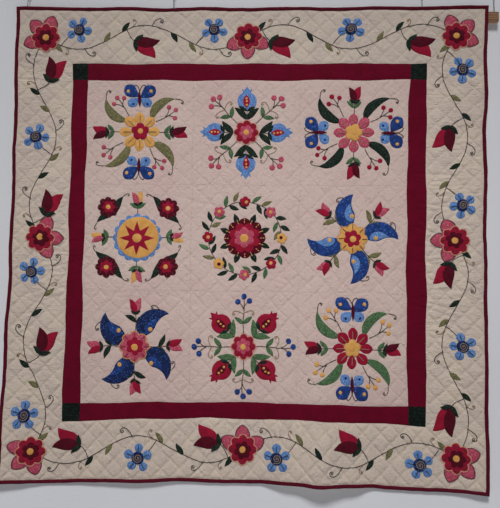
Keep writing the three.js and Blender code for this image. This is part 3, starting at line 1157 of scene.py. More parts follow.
@dataclass
class QuiltDesign:
    """All patches and embroidered lines of the quilt, in flat quilt places, by the panel that they lie on."""

    hang: QuiltHang
    groups: dict[str, Pattern] = field(default_factory=dict)
    slip: float = 0.8

    def draw(self) -> None:
        """Draws the blocks' and the border's patterns."""
        blocks = (daisy_block(Cloth.GOLD, Cloth.CRIMSON, Cloth.OLIVE, Cloth.ROSE),
                  fruit_block(Cloth.SKY, Cloth.CRIMSON, Cloth.PINE, Cloth.ROSE),
                  daisy_block(Cloth.ROSE, Cloth.GOLD, Cloth.PINE, Cloth.CRIMSON),
                  star_block(),
                  wreath_block(),
                  paisley_block(Cloth.ROYAL, Cloth.SKY, Cloth.GOLD, Cloth.OLIVE),
                  paisley_block(Cloth.NAVY, Cloth.ROYAL, Cloth.ROSE, Cloth.PINE),
                  fruit_block(Cloth.CRIMSON, Cloth.BURGUNDY, Cloth.MEADOW, Cloth.ROYAL),
                  daisy_block(Cloth.CRIMSON, Cloth.GOLD, Cloth.MEADOW, Cloth.GOLD))
        turns = (0, 0, 90, 0, 0, 0, 45, 45, 0)
        for number, (block, turn) in enumerate(zip(blocks, turns)):
            row, column = divmod(number, 3)
            middle = ((column - 1) * self.hang.block, (1 - row) * self.hang.block)
            self.place(f"block_{number + 1}", block, middle, turn)
        vine = BorderVine(self.hang.half_top - self.hang.border / 2).side()
        for number, side in enumerate(SIDES):
            self.place(f"border_{side}", vine, (0, 0), 90 * number)

    def place(self, name: str, pattern: Pattern, at: Sequence[float], turn: float) -> None:
        """Places one pattern on the quilt, as unevenly as hands do, with its heights turned to drops.

        Args:
            name: The panel that it lies on.
            pattern: What is placed.
            at: Where its origin goes.
            turn: Degrees clockwise.
        """
        rng = np.random.default_rng([SEED, *name.encode()])
        group = Pattern()
        for patch in pattern.patches:
            outline = turned(patch.outline, at + rng.normal(0, self.slip, 2), turn) * (1, -1)
            group.patches.append(replace(patch, outline=evenly(outline)))
        for line in pattern.lines:
            group.lines.append(replace(line, points=turned(line.points, at, turn) * (1, -1)))
        self.groups[name] = group

    def patches(self) -> Iterator[Patch]:
        """Gives every patch of the quilt."""
        for group in self.groups.values():
            yield from group.patches

    def depth(self, right: Array, down: Array, reach: float = 9.0) -> Array:
        """Finds how deep places lie under the patches.

        Args:
            right, down: Places on the flat quilt.
            reach: How far outside a patch still counts.

        Returns:
            Depths inside the nearest outline, below 0 outside, and minus reach far from any.
        """
        deepest = np.full(right.shape, -reach)
        for patch in self.patches():
            low, high = patch.outline.min(0) - reach, patch.outline.max(0) + reach
            near = (right > low[0]) & (right < high[0]) & (down > low[1]) & (down < high[1])
            if near.any():
                deepest[near] = np.maximum(deepest[near], patch.depth(right[near], down[near]))
        return deepest


def evenly(outline: Array, longest: float = 7.0) -> Array:
    """Adds points to an outline's long sides and turns it anticlockwise, as seen on the quilt.

    Args:
        outline: The outline.
        longest: The longest side that stays.

    Returns:
        The outline with its points added.
    """
    start, end = outline, np.roll(outline, -1, axis=0)
    parts = [a + (b - a) * np.arange(n)[:, None] / n for a, b in zip(start, end)
             for n in [max(1, math.ceil(np.hypot(*(b - a)) / longest))]]
    points = np.vstack(parts)
    area = (points[:, 0] * np.roll(points[:, 1], -1) - points[:, 1] * np.roll(points[:, 0], -1)).sum()
    return points[::-1] if area > 0 else points


@dataclass(frozen=True)
class Pucker:
    """A row of soft creases that the quilting draws up, where the real cloth puckers most.

    The row starts at its place and runs downwards if its creases lie level, or else to the right.
    """

    right: float
    down: float
    run: float
    count: int
    length: float
    level: bool
    depth: float


PUCKERS = (Pucker(536, -190, 470, 32, 92, True, 3.3), Pucker(590, -320, 740, 42, 80, True, 1.6),
           Pucker(-530, -120, 300, 20, 80, True, 2.8), Pucker(-592, -260, 740, 42, 72, True, 1.5),
           Pucker(40, 528, 240, 17, 70, False, 3.3), Pucker(-330, 560, 330, 18, 66, False, 1.0),
           Pucker(300, 590, 260, 14, 66, False, 0.9), Pucker(-420, -560, 320, 15, 60, False, 0.9),
           Pucker(100, -540, 360, 16, 56, False, 0.9), Pucker(-615, -560, 110, 7, 84, True, 2.4),
           Pucker(250, 640, 24, 3, 90, True, 0.9), Pucker(-140, -150, 56, 5, 90, True, 1.3),
           Pucker(80, 84, 44, 4, 86, True, 1.2), Pucker(-330, 150, 60, 5, 70, True, 1.1),
           Pucker(240, -330, 56, 4, 76, True, 0.9), Pucker(-60, 400, 80, 6, 70, False, 1.1),
           Pucker(330, 130, 60, 5, 80, True, 1.1), Pucker(-400, -160, 40, 3, 80, True, 1.0),
           Pucker(150, 148, 60, 5, 80, False, 1.1), Pucker(-180, 145, 52, 4, 90, True, 1.2))


@dataclass
class QuiltRelief:
    """The heights of the quilt top above its backing."""

    hang: QuiltHang
    design: QuiltDesign
    line: float = 2.4
    block_loft: float = 2.2
    border_loft: float = 3.6
    top_share: float = 0.7
    block_groove: float = 6.0
    border_groove: float = 5.0
    fullness: tuple[float, float] = (0.7, 1.15)
    repeat: int = 64
    # How tight a quilting line is drawn: on the whole, how much that swings, and at its slackest.
    block_tight: tuple[float, float, float] = (0.7, 0.46, 0.15)
    border_tight: tuple[float, float, float] = (0.78, 0.34, 0.35)
    tightest: float = 1.1
    swing_length: float = 85.0
    pull: float = 0.26
    pull_width: float = 0.09
    wrinkle: float = 0.28
    wrinkle_length: float = 17.0
    swell: float = 0.4
    swell_length: float = 52.0
    # A crease's place in its share of the row, how far it slides and turns, and its form.
    crease_place: tuple[float, float] = (0.2, 0.8)
    crease_slide: float = 9.0
    crease_turn: float = 0.16
    crease_depth: tuple[float, float] = (0.5, 1.2)
    crease_width: float = 3.6
    crease_taper: float = 2.2
    least: float = 1.6
    crown: float = 1.8
    seam_floor: float = 0.12
    seam_rise: float = 0.88
    seam_reach: float = 8.0
    join_floor: float = 0.78
    join_rise: float = 0.22
    join_reach: float = 5.0
    # From where to where, by the depth inside an outline, a patch flattens the cloth and presses it down.
    cover: tuple[float, float] = (-6.5, -1.0)
    press: tuple[float, float] = (-0.5, 3.5)
    ditch: float = 0.6
    ditch_out: float = 1.0
    ditch_width: float = 2.2
    under_patch: float = 0.75
    hidden: float = 1.0
    layer: float = 1.1
    patch_rise: float = 0.9
    patch_turn: float = 1.7
    patch_round: float = 1.9
    patch_crease: float = 0.5

    def inside(self, right: Array, down: Array) -> Array:
        """Finds which places lie on the blocks."""
        return np.maximum(np.abs(right), np.abs(down)) < self.hang.half_field

    def loft(self, right: Array, down: Array) -> Array:
        """Finds how high the wadding can stand.

        Args:
            right, down: Places on the flat quilt.

        Returns:
            Heights, less in the blocks than in the border, and most at the foot.
        """
        drop = smooth(-self.hang.half_field, self.hang.half_field, down)
        share = self.top_share + (1 - self.top_share) * drop
        return np.where(self.inside(right, down), self.block_loft, self.border_loft) * share

    def puff(self, right: Array, down: Array) -> Array:
        """Finds how full the quilted diamonds stand.

        Args:
            right, down: Places on the flat quilt.

        Returns:
            Shares of the loft, from 0 on a quilting line to about 1.
        """
        lines = self.hang.lines
        across, below = (np.interp(way, lines, np.arange(len(lines))) for way in (right, down))
        one, other = (across + below) / 2, (across - below) / 2
        fullness = np.random.default_rng(SEED).uniform(*self.fullness, (self.repeat, self.repeat))
        row, column = (np.floor(way).astype(int) % self.repeat for way in (one, other))
        height = fullness[row, column]
        blocks = self.inside(right, down)
        even, swing, slackest = (np.where(blocks, *pair) for pair in zip(self.block_tight, self.border_tight))
        for number, way in enumerate((one, other)):
            gap = 2 * np.abs(way - np.rint(way))
            swings = waves(self.swing_length, Seed.TIGHTNESS + number, right, down)
            tight = np.clip(even + swing * swings, slackest, self.tightest)
            groove = (1 - gap) ** np.where(blocks, self.block_groove, self.border_groove)
            stitched = self.pull * tight * np.exp(-(gap / self.pull_width) ** 2)
            height = height * (1 - np.minimum(tight, 1) * groove) - stitched
        return height

    def strip(self, right: Array, down: Array) -> Array:
        """Finds which places lie on the frame strips and their corner squares."""
        reach = np.maximum(np.abs(right), np.abs(down))
        return (reach > self.hang.half_field) & (reach < self.hang.half_field + self.hang.strip)

    def seam_gap(self, right: Array, down: Array) -> Array:
        """Finds the distance to the nearest seam of the frame or the quilt's edge."""
        reach, inner = np.maximum(np.abs(right), np.abs(down)), self.hang.half_field
        return np.abs(reach[..., None] - (inner, inner + self.hang.strip, self.hang.half_top)).min(-1)

    def block_gap(self, right: Array, down: Array) -> Array:
        """Finds the distance to the nearest seam between two blocks, or far away outside the blocks."""
        gap = np.minimum(*(np.abs(np.abs(way) - self.hang.block / 2) for way in (right, down)))
        return np.where(self.inside(right, down), gap, self.hang.block)

    def creases(self, right: Array, down: Array) -> Array:
        """Adds up the listed puckers and the small wrinkles between them.

        Args:
            right, down: Places on the flat quilt.

        Returns:
            Heights, below 0 in a crease.
        """
        total = (self.wrinkle * waves(self.wrinkle_length, Seed.WRINKLE, right, down)
                 + self.swell * waves(self.swell_length, Seed.SWELL, right, down))
        for number, row in enumerate(PUCKERS):
            rng = np.random.default_rng([SEED, number])
            shares = (np.arange(row.count) + rng.uniform(*self.crease_place, row.count)) / row.count
            slides = rng.normal(0, self.crease_slide, row.count)
            turns = rng.normal(0, self.crease_turn, row.count)
            depths = row.depth * rng.uniform(*self.crease_depth, row.count)
            for share, slide, turn, depth in zip(shares, slides, turns, depths):
                step = (slide, share * row.run) if row.level else (share * row.run, slide)
                lean = turn if row.level else math.pi / 2 + turn
                to_x, to_y = right - row.right - step[0], down - row.down - step[1]
                along = to_x * math.cos(lean) + to_y * math.sin(lean)
                aside = to_y * math.cos(lean) - to_x * math.sin(lean)
                taper = (self.crease_taper * along / row.length) ** 2
                total = total - depth * np.exp(-(aside / self.crease_width) ** 2 - taper)
        return total

    def front(self, right: Array, down: Array) -> Array:
        """Finds the heights of the quilt top.

        Args:
            right, down: Places on the flat quilt.

        Returns:
            Heights above the backing.
        """
        depth = self.design.depth(right.ravel(), down.ravel()).reshape(right.shape)
        covered = smooth(*self.cover, depth)
        loft = self.loft(right, down)
        under = self.under_patch - smooth(*self.press, depth) * self.hidden / loft
        rise = self.puff(right, down) * (1 - covered) + under * covered
        flat = np.where(self.strip(right, down), self.crown, loft * rise)
        ditch = self.ditch * np.exp(-((depth + self.ditch_out) / self.ditch_width) ** 2)
        edge = self.seam_floor + self.seam_rise * smooth(0, self.seam_reach, self.seam_gap(right, down))
        join = self.join_floor + self.join_rise * smooth(0, self.join_reach, self.block_gap(right, down))
        creases = self.creases(right, down) * (1 - self.patch_crease * covered)
        return np.maximum(self.line + (flat + creases - ditch) * edge * join, self.least)

    def patch_top(self, layer: int, depth: Array, right: Array, down: Array) -> Array:
        """Finds the heights of a patch.

        Args:
            layer: How many patches it lies on.
            depth: How deep its places lie inside its edge.
            right, down: Places on the flat quilt.

        Returns:
            Heights above the backing.
        """
        base = self.line + self.loft(right, down) * self.under_patch + self.layer * layer
        rounded = self.patch_turn * np.exp(-np.maximum(depth, 0) / self.patch_round)
        return base + self.patch_rise - rounded + self.patch_crease * self.creases(right, down)


def new_piece(name: str, points: Array, faces: Array | list[list[int]], material: Material) -> Piece:
    """Makes a smooth mesh object that rides on the quilt's one body.

    Args:
        name: The piece's name.
        points: Its points in metres.
        faces: Its faces, as point numbers.
        material: Its finish.

    Returns:
        The object, at the origin.
    """
    mesh = bpy.data.meshes.new(name)
    mesh.from_pydata(points.tolist(), [], faces.tolist() if isinstance(faces, Array) else faces)
    mesh.shade_smooth()
    mesh.materials.append(material)
    piece = bpy.data.objects.new(name, mesh)
    bpy.context.scene.collection.objects.link(piece)
    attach(piece, BODY)
    return piece


def grid_faces(columns: int, rows: int, away: bool = False) -> Array:
    """Numbers the faces of a grid of points that runs right and then down.

    Args:
        columns: Points in a row.
        rows: Rows of points.
        away: Whether the faces look away from the front.

    Returns:
        Four point numbers for each face.
    """
    corner = np.arange(rows - 1)[:, None] * columns + np.arange(columns - 1)
    faces = np.stack((corner, corner + columns, corner + columns + 1, corner + 1), -1).reshape(-1, 4)
    return faces[:, ::-1] if away else faces


def quilted_faces(columns: int, rows: int, first_column: int, first_row: int, repeat: int) -> Array:
    """Numbers the triangles of a panel's grid, split along the quilting lines that cross it.

    Args:
        columns: Points in a row.
        rows: Rows of points.
        first_column: The first point's place in the whole quilt's fine grid.
        first_row: Likewise, downwards.
        repeat: Fine steps from one quilting line to the next.

    Returns:
        Three point numbers for each triangle, facing the front.
    """
    one, low, far, aside = grid_faces(columns, rows).T
    step = np.arange(rows - 1)[:, None] + first_row + np.arange(columns - 1) + first_column + 1
    rising = (step % repeat == 0).ravel()
    first = np.column_stack((one, low, np.where(rising, aside, far)))
    second = np.column_stack((np.where(rising, low, one), far, aside))
    return np.vstack((first, second))


class Slot(Enum):
    """The record's material slots that the quilt's panels take."""

    BLOCK = "block_cloth"
    BORDER = "border_cloth"
    FRAME = "frame_cloth"
    CORNER = "corner_cloth"


@dataclass(frozen=True)
class Panel:
    """A panel of the quilt top, by the cells of the quilting grid that it covers."""

    name: str
    columns: tuple[int, int]
    rows: tuple[int, int]
    cloth: Cloth
    slot: Slot


def quilt_panels(hang: QuiltHang) -> Iterator[Panel]:
    """Gives the panels that the quilt top is sewn from.

    Args:
        hang: The quilt's layout.

    Yields:
        Each panel.
    """
    ends = hang.seam_lines
    for number in range(9):
        row, column = divmod(number, 3)
        yield Panel(f"block_{number + 1}", ends[2 + column:4 + column], ends[2 + row:4 + row], Cloth.BLOCK,
                    Slot.BLOCK)
    inner, low, high = (ends[2], ends[5]), ends[1:3], ends[5:7]
    strips = (("top", inner, low), ("foot", inner, high), ("left", low, inner), ("right", high, inner))
    for name, columns, rows in strips:
        yield Panel(f"frame_{name}", columns, rows, Cloth.FRAME, Slot.FRAME)
    for number, (columns, rows) in enumerate(((low, low), (high, low), (low, high), (high, high))):
        yield Panel(f"corner_{number + 1}", columns, rows, Cloth.CORNER, Slot.CORNER)
    across, between, first, last = (ends[0], ends[7]), (ends[1], ends[6]), ends[:2], ends[6:]
    borders = (("top", across, first, Cloth.BORDER), ("foot", across, last, Cloth.FOOT_BORDER),
               ("left", first, between, Cloth.SIDE_BORDER), ("right", last, between, Cloth.SIDE_BORDER))
    for name, columns, rows, cloth in borders:
        yield Panel(f"border_{name}", columns, rows, cloth, Slot.BORDER)


@dataclass
class QuiltTop:
    """The pieced and quilted front of the quilt."""

    hang: QuiltHang
    relief: QuiltRelief
    fine: int = 8
    gap: float = 0.3
    turn_under: float = 1.4

    def places(self, cells: tuple[int, int]) -> Array:
        """Finds the fine places between two lines of the grid, just short of both seams.

        Args:
            cells: The lines' numbers.

        Returns:
            The places, with each end given twice for the turned edge.
        """
        places = self.hang.ruled(*cells, self.fine)
        places[0] += self.gap / 2
        places[-1] -= self.gap / 2
        return np.pad(places, 1, mode="edge")

    def build(self, panel: Panel) -> Piece:
        """Builds one panel with its edges turned under, in place of its solid.

        Args:
            panel: The panel.

        Returns:
            The piece.
        """
        across, below = self.places(panel.columns), self.places(panel.rows)
        right, down = np.meshgrid(across, below)
        proud = self.relief.front(right, down)
        for rim in (np.s_[0], np.s_[-1], np.s_[:, 0], np.s_[:, -1]):
            proud[rim] = self.turn_under
        points = self.hang.hang(right, down, proud).reshape(-1, 3)
        starts = (line * self.fine - 1 for line in (panel.columns[0], panel.rows[0]))
        faces = quilted_faces(len(across), len(below), *starts, 2 * self.fine)
        piece = new_piece(f"{panel.name}_cloth", points, faces, finish(panel.cloth))
        self.crease_rim(piece.data, len(across), len(below))
        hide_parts(panel.name)
        return piece

    def crease_rim(self, mesh: bpy.types.Mesh, columns: int, rows: int) -> None:
        """Marks the fold of the turned edge as sharp, so that the face is lit evenly up to it.

        Args:
            mesh: The panel's mesh.
            columns, rows: Points in a row, and rows of points.
        """
        level, upright = np.divmod(np.arange(columns * rows), columns)
        fold = np.isin(level, (1, rows - 2)) | np.isin(upright, (1, columns - 2))
        rim = np.isin(level, (0, rows - 1)) | np.isin(upright, (0, columns - 1))
        ends = np.empty(2 * len(mesh.edges), int)
        mesh.edges.foreach_get("vertices", ends)
        first, second = ends.reshape(-1, 2).T
        along = (level[first] == level[second]) | (upright[first] == upright[second])
        sharp = (fold & ~rim)[first] & (fold & ~rim)[second] & along
        mesh.attributes.new("sharp_edge", "BOOLEAN", "EDGE").data.foreach_set("value", sharp)

    def declare(self, panel: Panel, piece: Piece, sewn: Sequence[Piece]) -> None:
        """Args:
            panel: The panel, not used.
            piece: Its piece, not used.
            sewn: The patches and stitches on it, not used.
        """
        lines = self.hang.lines


@dataclass
class QuiltBack:
    """The muslin backing, one width of cloth, drawn in along the quilting and full between its lines."""

    hang: QuiltHang
    relief: QuiltRelief
    fine: int = 4
    drawn_in: float = 1.0
    full: float = 1.2
    pucker_share: float = 0.3
    lap: float = 4.0
    edge_reach: float = 12.0
    at_edge: float = 0.15
    strip_puff: float = 0.8

    def heights(self, right: Array, down: Array) -> Array:
        """Finds how far the backing is drawn in towards the front.

        Args:
            right, down: Places on the flat quilt.

        Returns:
            Heights above the quilt's mean back, below 0 where the wadding fills it out.
        """
        puff = np.where(self.relief.strip(right, down), self.strip_puff, self.relief.puff(right, down))
        proud = self.drawn_in - (self.drawn_in + self.full) * np.clip(puff, 0, 1)
        proud = np.minimum(proud - self.pucker_share * self.relief.creases(right, down), self.drawn_in)
        inner = smooth(0, self.edge_reach, self.hang.half_top - np.maximum(np.abs(right), np.abs(down)))
        return self.at_edge + (np.maximum(proud, -self.full) - self.at_edge) * inner

    def build(self) -> Piece:
        """Returns:
            The piece.
        """
        ruled = self.hang.ruled(0, self.hang.seam_lines[-1], self.fine)
        ruled[[0, -1]] = -self.hang.half_top - self.lap, self.hang.half_top + self.lap
        right, down = np.meshgrid(ruled, ruled)
        points = self.hang.hang(right, down, self.heights(right, down)).reshape(-1, 3)
        faces = quilted_faces(len(ruled), len(ruled), 0, 0, 2 * self.fine)[:, ::-1]
        piece = new_piece("quilt_backing", points, faces, finish(Cloth.BACKING))
        return piece


@dataclass
class Binding:
    """The folded strip round the quilt's edge, mitred at its corners."""

    hang: QuiltHang
    # Each corner of the fold's section: its distance from the seam and its height above the backing.
    section: tuple[tuple[float, float], ...] = (
        (-0.4, 2.6), (0.6, 4.0), (2.6, 5.3), (5.0, 5.9), (7.4, 5.5), (9.1, 4.4),
        (9.9, 3.0), (9.9, 1.4), (9.1, 0.2), (7.2, -0.3), (3.5, -0.5), (0.0, -0.3))
    steps: int = 280
    slack: float = 0.35
    slack_length: float = 34.0
    slack_above: float = 2.0
    firm_ends: int = 20

    def build(self, side: str, number: int) -> Piece:
        """Args:
            side: Which side.
            number: How many quarter turns it lies from the top.

        Returns:
            The piece.
        """
        width, proud = np.array(self.section).T
        share = np.linspace(-1, 1, self.steps)[:, None]
        reach = self.hang.half_top + width
        along = share * reach
        out = np.broadcast_to(-reach, along.shape)
        turn = math.radians(90 * number)
        right = along * math.cos(turn) - out * math.sin(turn)
        down = along * math.sin(turn) + out * math.cos(turn)
        uneven = self.slack * waves(self.slack_length, Seed.BINDING + number, along, np.zeros_like(along))
        uneven = uneven * (proud > self.slack_above) * (1 - share ** self.firm_ends)
        points = self.hang.hang(right, down, proud + uneven).reshape(-1, 3)
        faces = grid_faces(len(width), self.steps, away=True)
        piece = new_piece(f"binding_{side}_cloth", points, faces, finish(Cloth.BINDING))
        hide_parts(f"binding_{side}")
        return piece


# The kind of result that delaunay_2d_cdt gives: the triangles inside the outline.
INSIDE_OUTLINE = 1


@dataclass
class Applique:
    """The patches, each a shaped piece of cloth with its edge turned under."""

    hang: QuiltHang
    relief: QuiltRelief
    inset: float = 2.0
    spacing: float = 12.0
    spacing_start: float = 3.0
    # How deep inside the outline a point has to lie, in insets: on the inset ring, and in the grid.
    ring_least: float = 0.7
    grid_least: float = 2.0
    tuck: float = 1.6
    sunk: float = 0.2
    merged: float = 1e-4

    def mesh(self, patch: Patch) -> tuple[Array, list[list[int]]]:
        """Shapes one patch.

        Args:
            patch: The patch in flat quilt places.

        Returns:
            Its points in metres and its faces.
        """
        outline = patch.outline
        rim = len(outline)
        low, high = outline.min(0), outline.max(0)
        ways = (np.arange(low[way], high[way], self.spacing) + self.spacing_start for way in (0, 1))
        across, below = np.meshgrid(*ways)
        inner = np.column_stack((across.ravel(), below.ravel()))
        run = np.roll(outline, -1, axis=0) - np.roll(outline, 1, axis=0)
        inward = np.column_stack((run[:, 1], -run[:, 0])) / np.maximum(np.hypot(*run.T), TINY)[:, None]
        near = np.vstack((outline + inward * self.inset, inner))
        wanted = self.inset * np.repeat((self.ring_least, self.grid_least), (rim, len(inner)))
        loose = np.vstack((outline, near[patch.depth(near[:, 0], near[:, 1]) > wanted]))
        edges = [(at, (at + 1) % rim) for at in range(rim)]
        corners = [Vector((x, -y)) for x, y in loose]
        flat, _, faces, _, _, _ = delaunay_2d_cdt(corners, edges, [], INSIDE_OUTLINE, self.merged)
        flat = np.array([(x, -y) for x, y in flat])
        depth = np.maximum(patch.depth(flat[:, 0], flat[:, 1]), 0)
        depth[:rim] = 0
        right, down = flat.T
        proud = self.relief.patch_top(patch.layer, depth, right, down)
        under = np.maximum(proud - self.tuck, self.relief.least - self.sunk)
        points = np.vstack((self.hang.hang(right, down, proud), self.hang.hang(right, down, under)))
        first = len(flat)
        skirt = [[at, first + at, first + (at + 1) % rim, (at + 1) % rim] for at in range(rim)]
        back = [[first + at for at in reversed(face)] for face in faces]
        return points, [*map(list, faces), *skirt, *back]

    def build(self, name: str, pattern: Pattern) -> list[Piece]:
        """Builds a panel's patches, one piece for each cloth.

        Args:
            name: The panel's name.
            pattern: What is sewn on it.

        Returns:
            The pieces.
        """
        pieces = []
        for cloth in sorted({patch.cloth for patch in pattern.patches}, key=lambda kind: kind.name):
            points, faces = [], []
            for patch in (patch for patch in pattern.patches if patch.cloth is cloth):
                first = sum(map(len, points))
                own_points, own_faces = self.mesh(patch)
                points.append(own_points)
                faces += [[first + at for at in face] for face in own_faces]
            title = f"{name}_{cloth.name.lower()}_patches"
            piece = new_piece(title, np.vstack(points), faces, finish(cloth))
            pieces.append(piece)
        return pieces


@dataclass(frozen=True)
class StitchKind:
    """The size of a stitch and how it lies on its line."""

    pitch: float
    length: float
    width: float
    height: float
    slant: float
    sides: int = 4
    rings: int = 2


class Stitch(Enum):
    """The stitches that the quilt is sewn with."""

    QUILTING = StitchKind(pitch=5.6, length=3.4, width=0.8, height=0.7, slant=0)
    STEM = StitchKind(pitch=3.6, length=6.4, width=2.6, height=1.7, slant=11, sides=5, rings=3)
    SATIN = StitchKind(pitch=1.9, length=4.6, width=1.9, height=1.3, slant=86)


# How far a stitch turns from its line, in radians, and how much its length varies.
STITCH_SWAY = 0.1
STITCH_PULL = 0.15


@cache
def stitch_tree() -> NodeTree:
    """Builds the node tree that sews stitches along lines.

    Returns:
        The tree, with named inputs for the stitch's sizes.
    """
    tree = bpy.data.node_groups.new("sew_stitches", "GeometryNodeTree")
    tree.interface.new_socket("Lines", in_out="INPUT", socket_type="NodeSocketGeometry")
    for name in ("Pitch", "Length", "Width", "Height", "Slant"):
        tree.interface.new_socket(name, in_out="INPUT", socket_type="NodeSocketFloat")
    for name in ("Sides", "Rings"):
        tree.interface.new_socket(name, in_out="INPUT", socket_type="NodeSocketInt")
    tree.interface.new_socket("Thread", in_out="INPUT", socket_type="NodeSocketMaterial")
    tree.interface.new_socket("Stitches", in_out="OUTPUT", socket_type="NodeSocketGeometry")
    given = add(tree, "NodeGroupInput", {}, {}).outputs
    curve = add(tree, "GeometryNodeMeshToCurve", {}, {"Mesh": given["Lines"]})
    spaced = add(tree, "GeometryNodeResampleCurve", {"mode": "LENGTH"},
                 {"Curve": curve.outputs[0], "Length": given["Pitch"]})
    tangent = add(tree, "GeometryNodeInputTangent", {}, {})
    facing = add(tree, "FunctionNodeAxesToRotation", {"primary_axis": "X", "secondary_axis": "Z"},
                 {"Primary Axis": tangent.outputs[0], "Secondary Axis": (0, -1, 0)})
    sway = add(tree, "FunctionNodeRandomValue", {"data_type": "FLOAT"},
               {2: -STITCH_SWAY, 3: STITCH_SWAY, "Seed": SEED})
    turn = add(tree, "ShaderNodeMath", {"operation": "ADD"}, {0: given["Slant"], 1: sway.outputs[1]})
    lean = add(tree, "ShaderNodeCombineXYZ", {}, {"Z": turn.outputs[0]})
    leaning = add(tree, "FunctionNodeEulerToRotation", {}, {0: lean.outputs[0]})
    rotation = add(tree, "FunctionNodeRotateRotation", {"rotation_space": "LOCAL"},
                   {"Rotation": facing.outputs[0], "Rotate By": leaning.outputs[0]})
    pull = add(tree, "FunctionNodeRandomValue", {"data_type": "FLOAT"},
               {2: 1 - STITCH_PULL, 3: 1 + STITCH_PULL, "Seed": SEED + 1})
    long = add(tree, "ShaderNodeMath", {"operation": "MULTIPLY"}, {0: given["Length"], 1: pull.outputs[1]})
    size = add(tree, "ShaderNodeCombineXYZ", {},
               {"X": long.outputs[0], "Y": given["Width"], "Z": given["Height"]})
    stitch = add(tree, "GeometryNodeMeshUVSphere", {},
                 {"Segments": given["Sides"], "Rings": given["Rings"], "Radius": 0.5})
    lengthwise = add(tree, "GeometryNodeTransform", {},
                     {"Geometry": stitch.outputs[0], "Rotation": (0, math.pi / 2, 0)})
    sewn = add(tree, "GeometryNodeInstanceOnPoints", {},
               {"Points": spaced.outputs[0], "Instance": lengthwise.outputs[0],
                "Rotation": rotation.outputs[0], "Scale": size.outputs[0]})
    real = add(tree, "GeometryNodeRealizeInstances", {}, {"Geometry": sewn.outputs[0]})
    dressed = add(tree, "GeometryNodeSetMaterial", {},
                  {"Geometry": real.outputs[0], "Material": given["Thread"]})
    add(tree, "NodeGroupOutput", {}, {"Stitches": dressed.outputs[0]})
    return tree


def sew(name: str, runs: Sequence[Array], kind: Stitch, thread: Thread,
        closed: bool = False) -> Piece:
    """Sews stitches along runs of points and makes them one plain mesh.

    Args:
        name: The piece's name.
        runs: Points in metres, one array for each run.
        kind: The stitch.
        thread: The thread.
        closed: Whether each run ends where it starts.

    Returns:
        The piece.
    """
    points, edges, first = np.vstack(runs), [], 0
    for run in runs:
        numbers = np.arange(first, first + len(run))
        edges += [*zip(numbers[:-1].tolist(), numbers[1:].tolist())]
        if closed:
            edges.append((int(numbers[-1]), first))
        first += len(run)
    guide = bpy.data.meshes.new(f"{name}_lines")
    guide.from_pydata(points.tolist(), edges, [])
    carrier = bpy.data.objects.new(f"{name}_lines", guide)
    bpy.context.scene.collection.objects.link(carrier)
    modifier = carrier.modifiers.new("stitches", "NODES")
    modifier.node_group = stitch_tree()
    size = kind.value
    wanted = {"Pitch": size.pitch * MM, "Length": size.length * MM, "Width": size.width * MM,
              "Height": size.height * MM, "Slant": math.radians(size.slant), "Sides": size.sides,
              "Rings": size.rings, "Thread": finish(thread)}
    for item in stitch_tree().interface.items_tree:
        if item.name in wanted:
            modifier[item.identifier] = wanted[item.name]
    made = bpy.data.meshes.new_from_object(carrier.evaluated_get(bpy.context.evaluated_depsgraph_get()))
    bpy.data.objects.remove(carrier)
    bpy.data.meshes.remove(guide)
    made.name = name
    made.shade_smooth()
    piece = bpy.data.objects.new(name, made)
    bpy.context.scene.collection.objects.link(piece)
    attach(piece, BODY)
    return piece


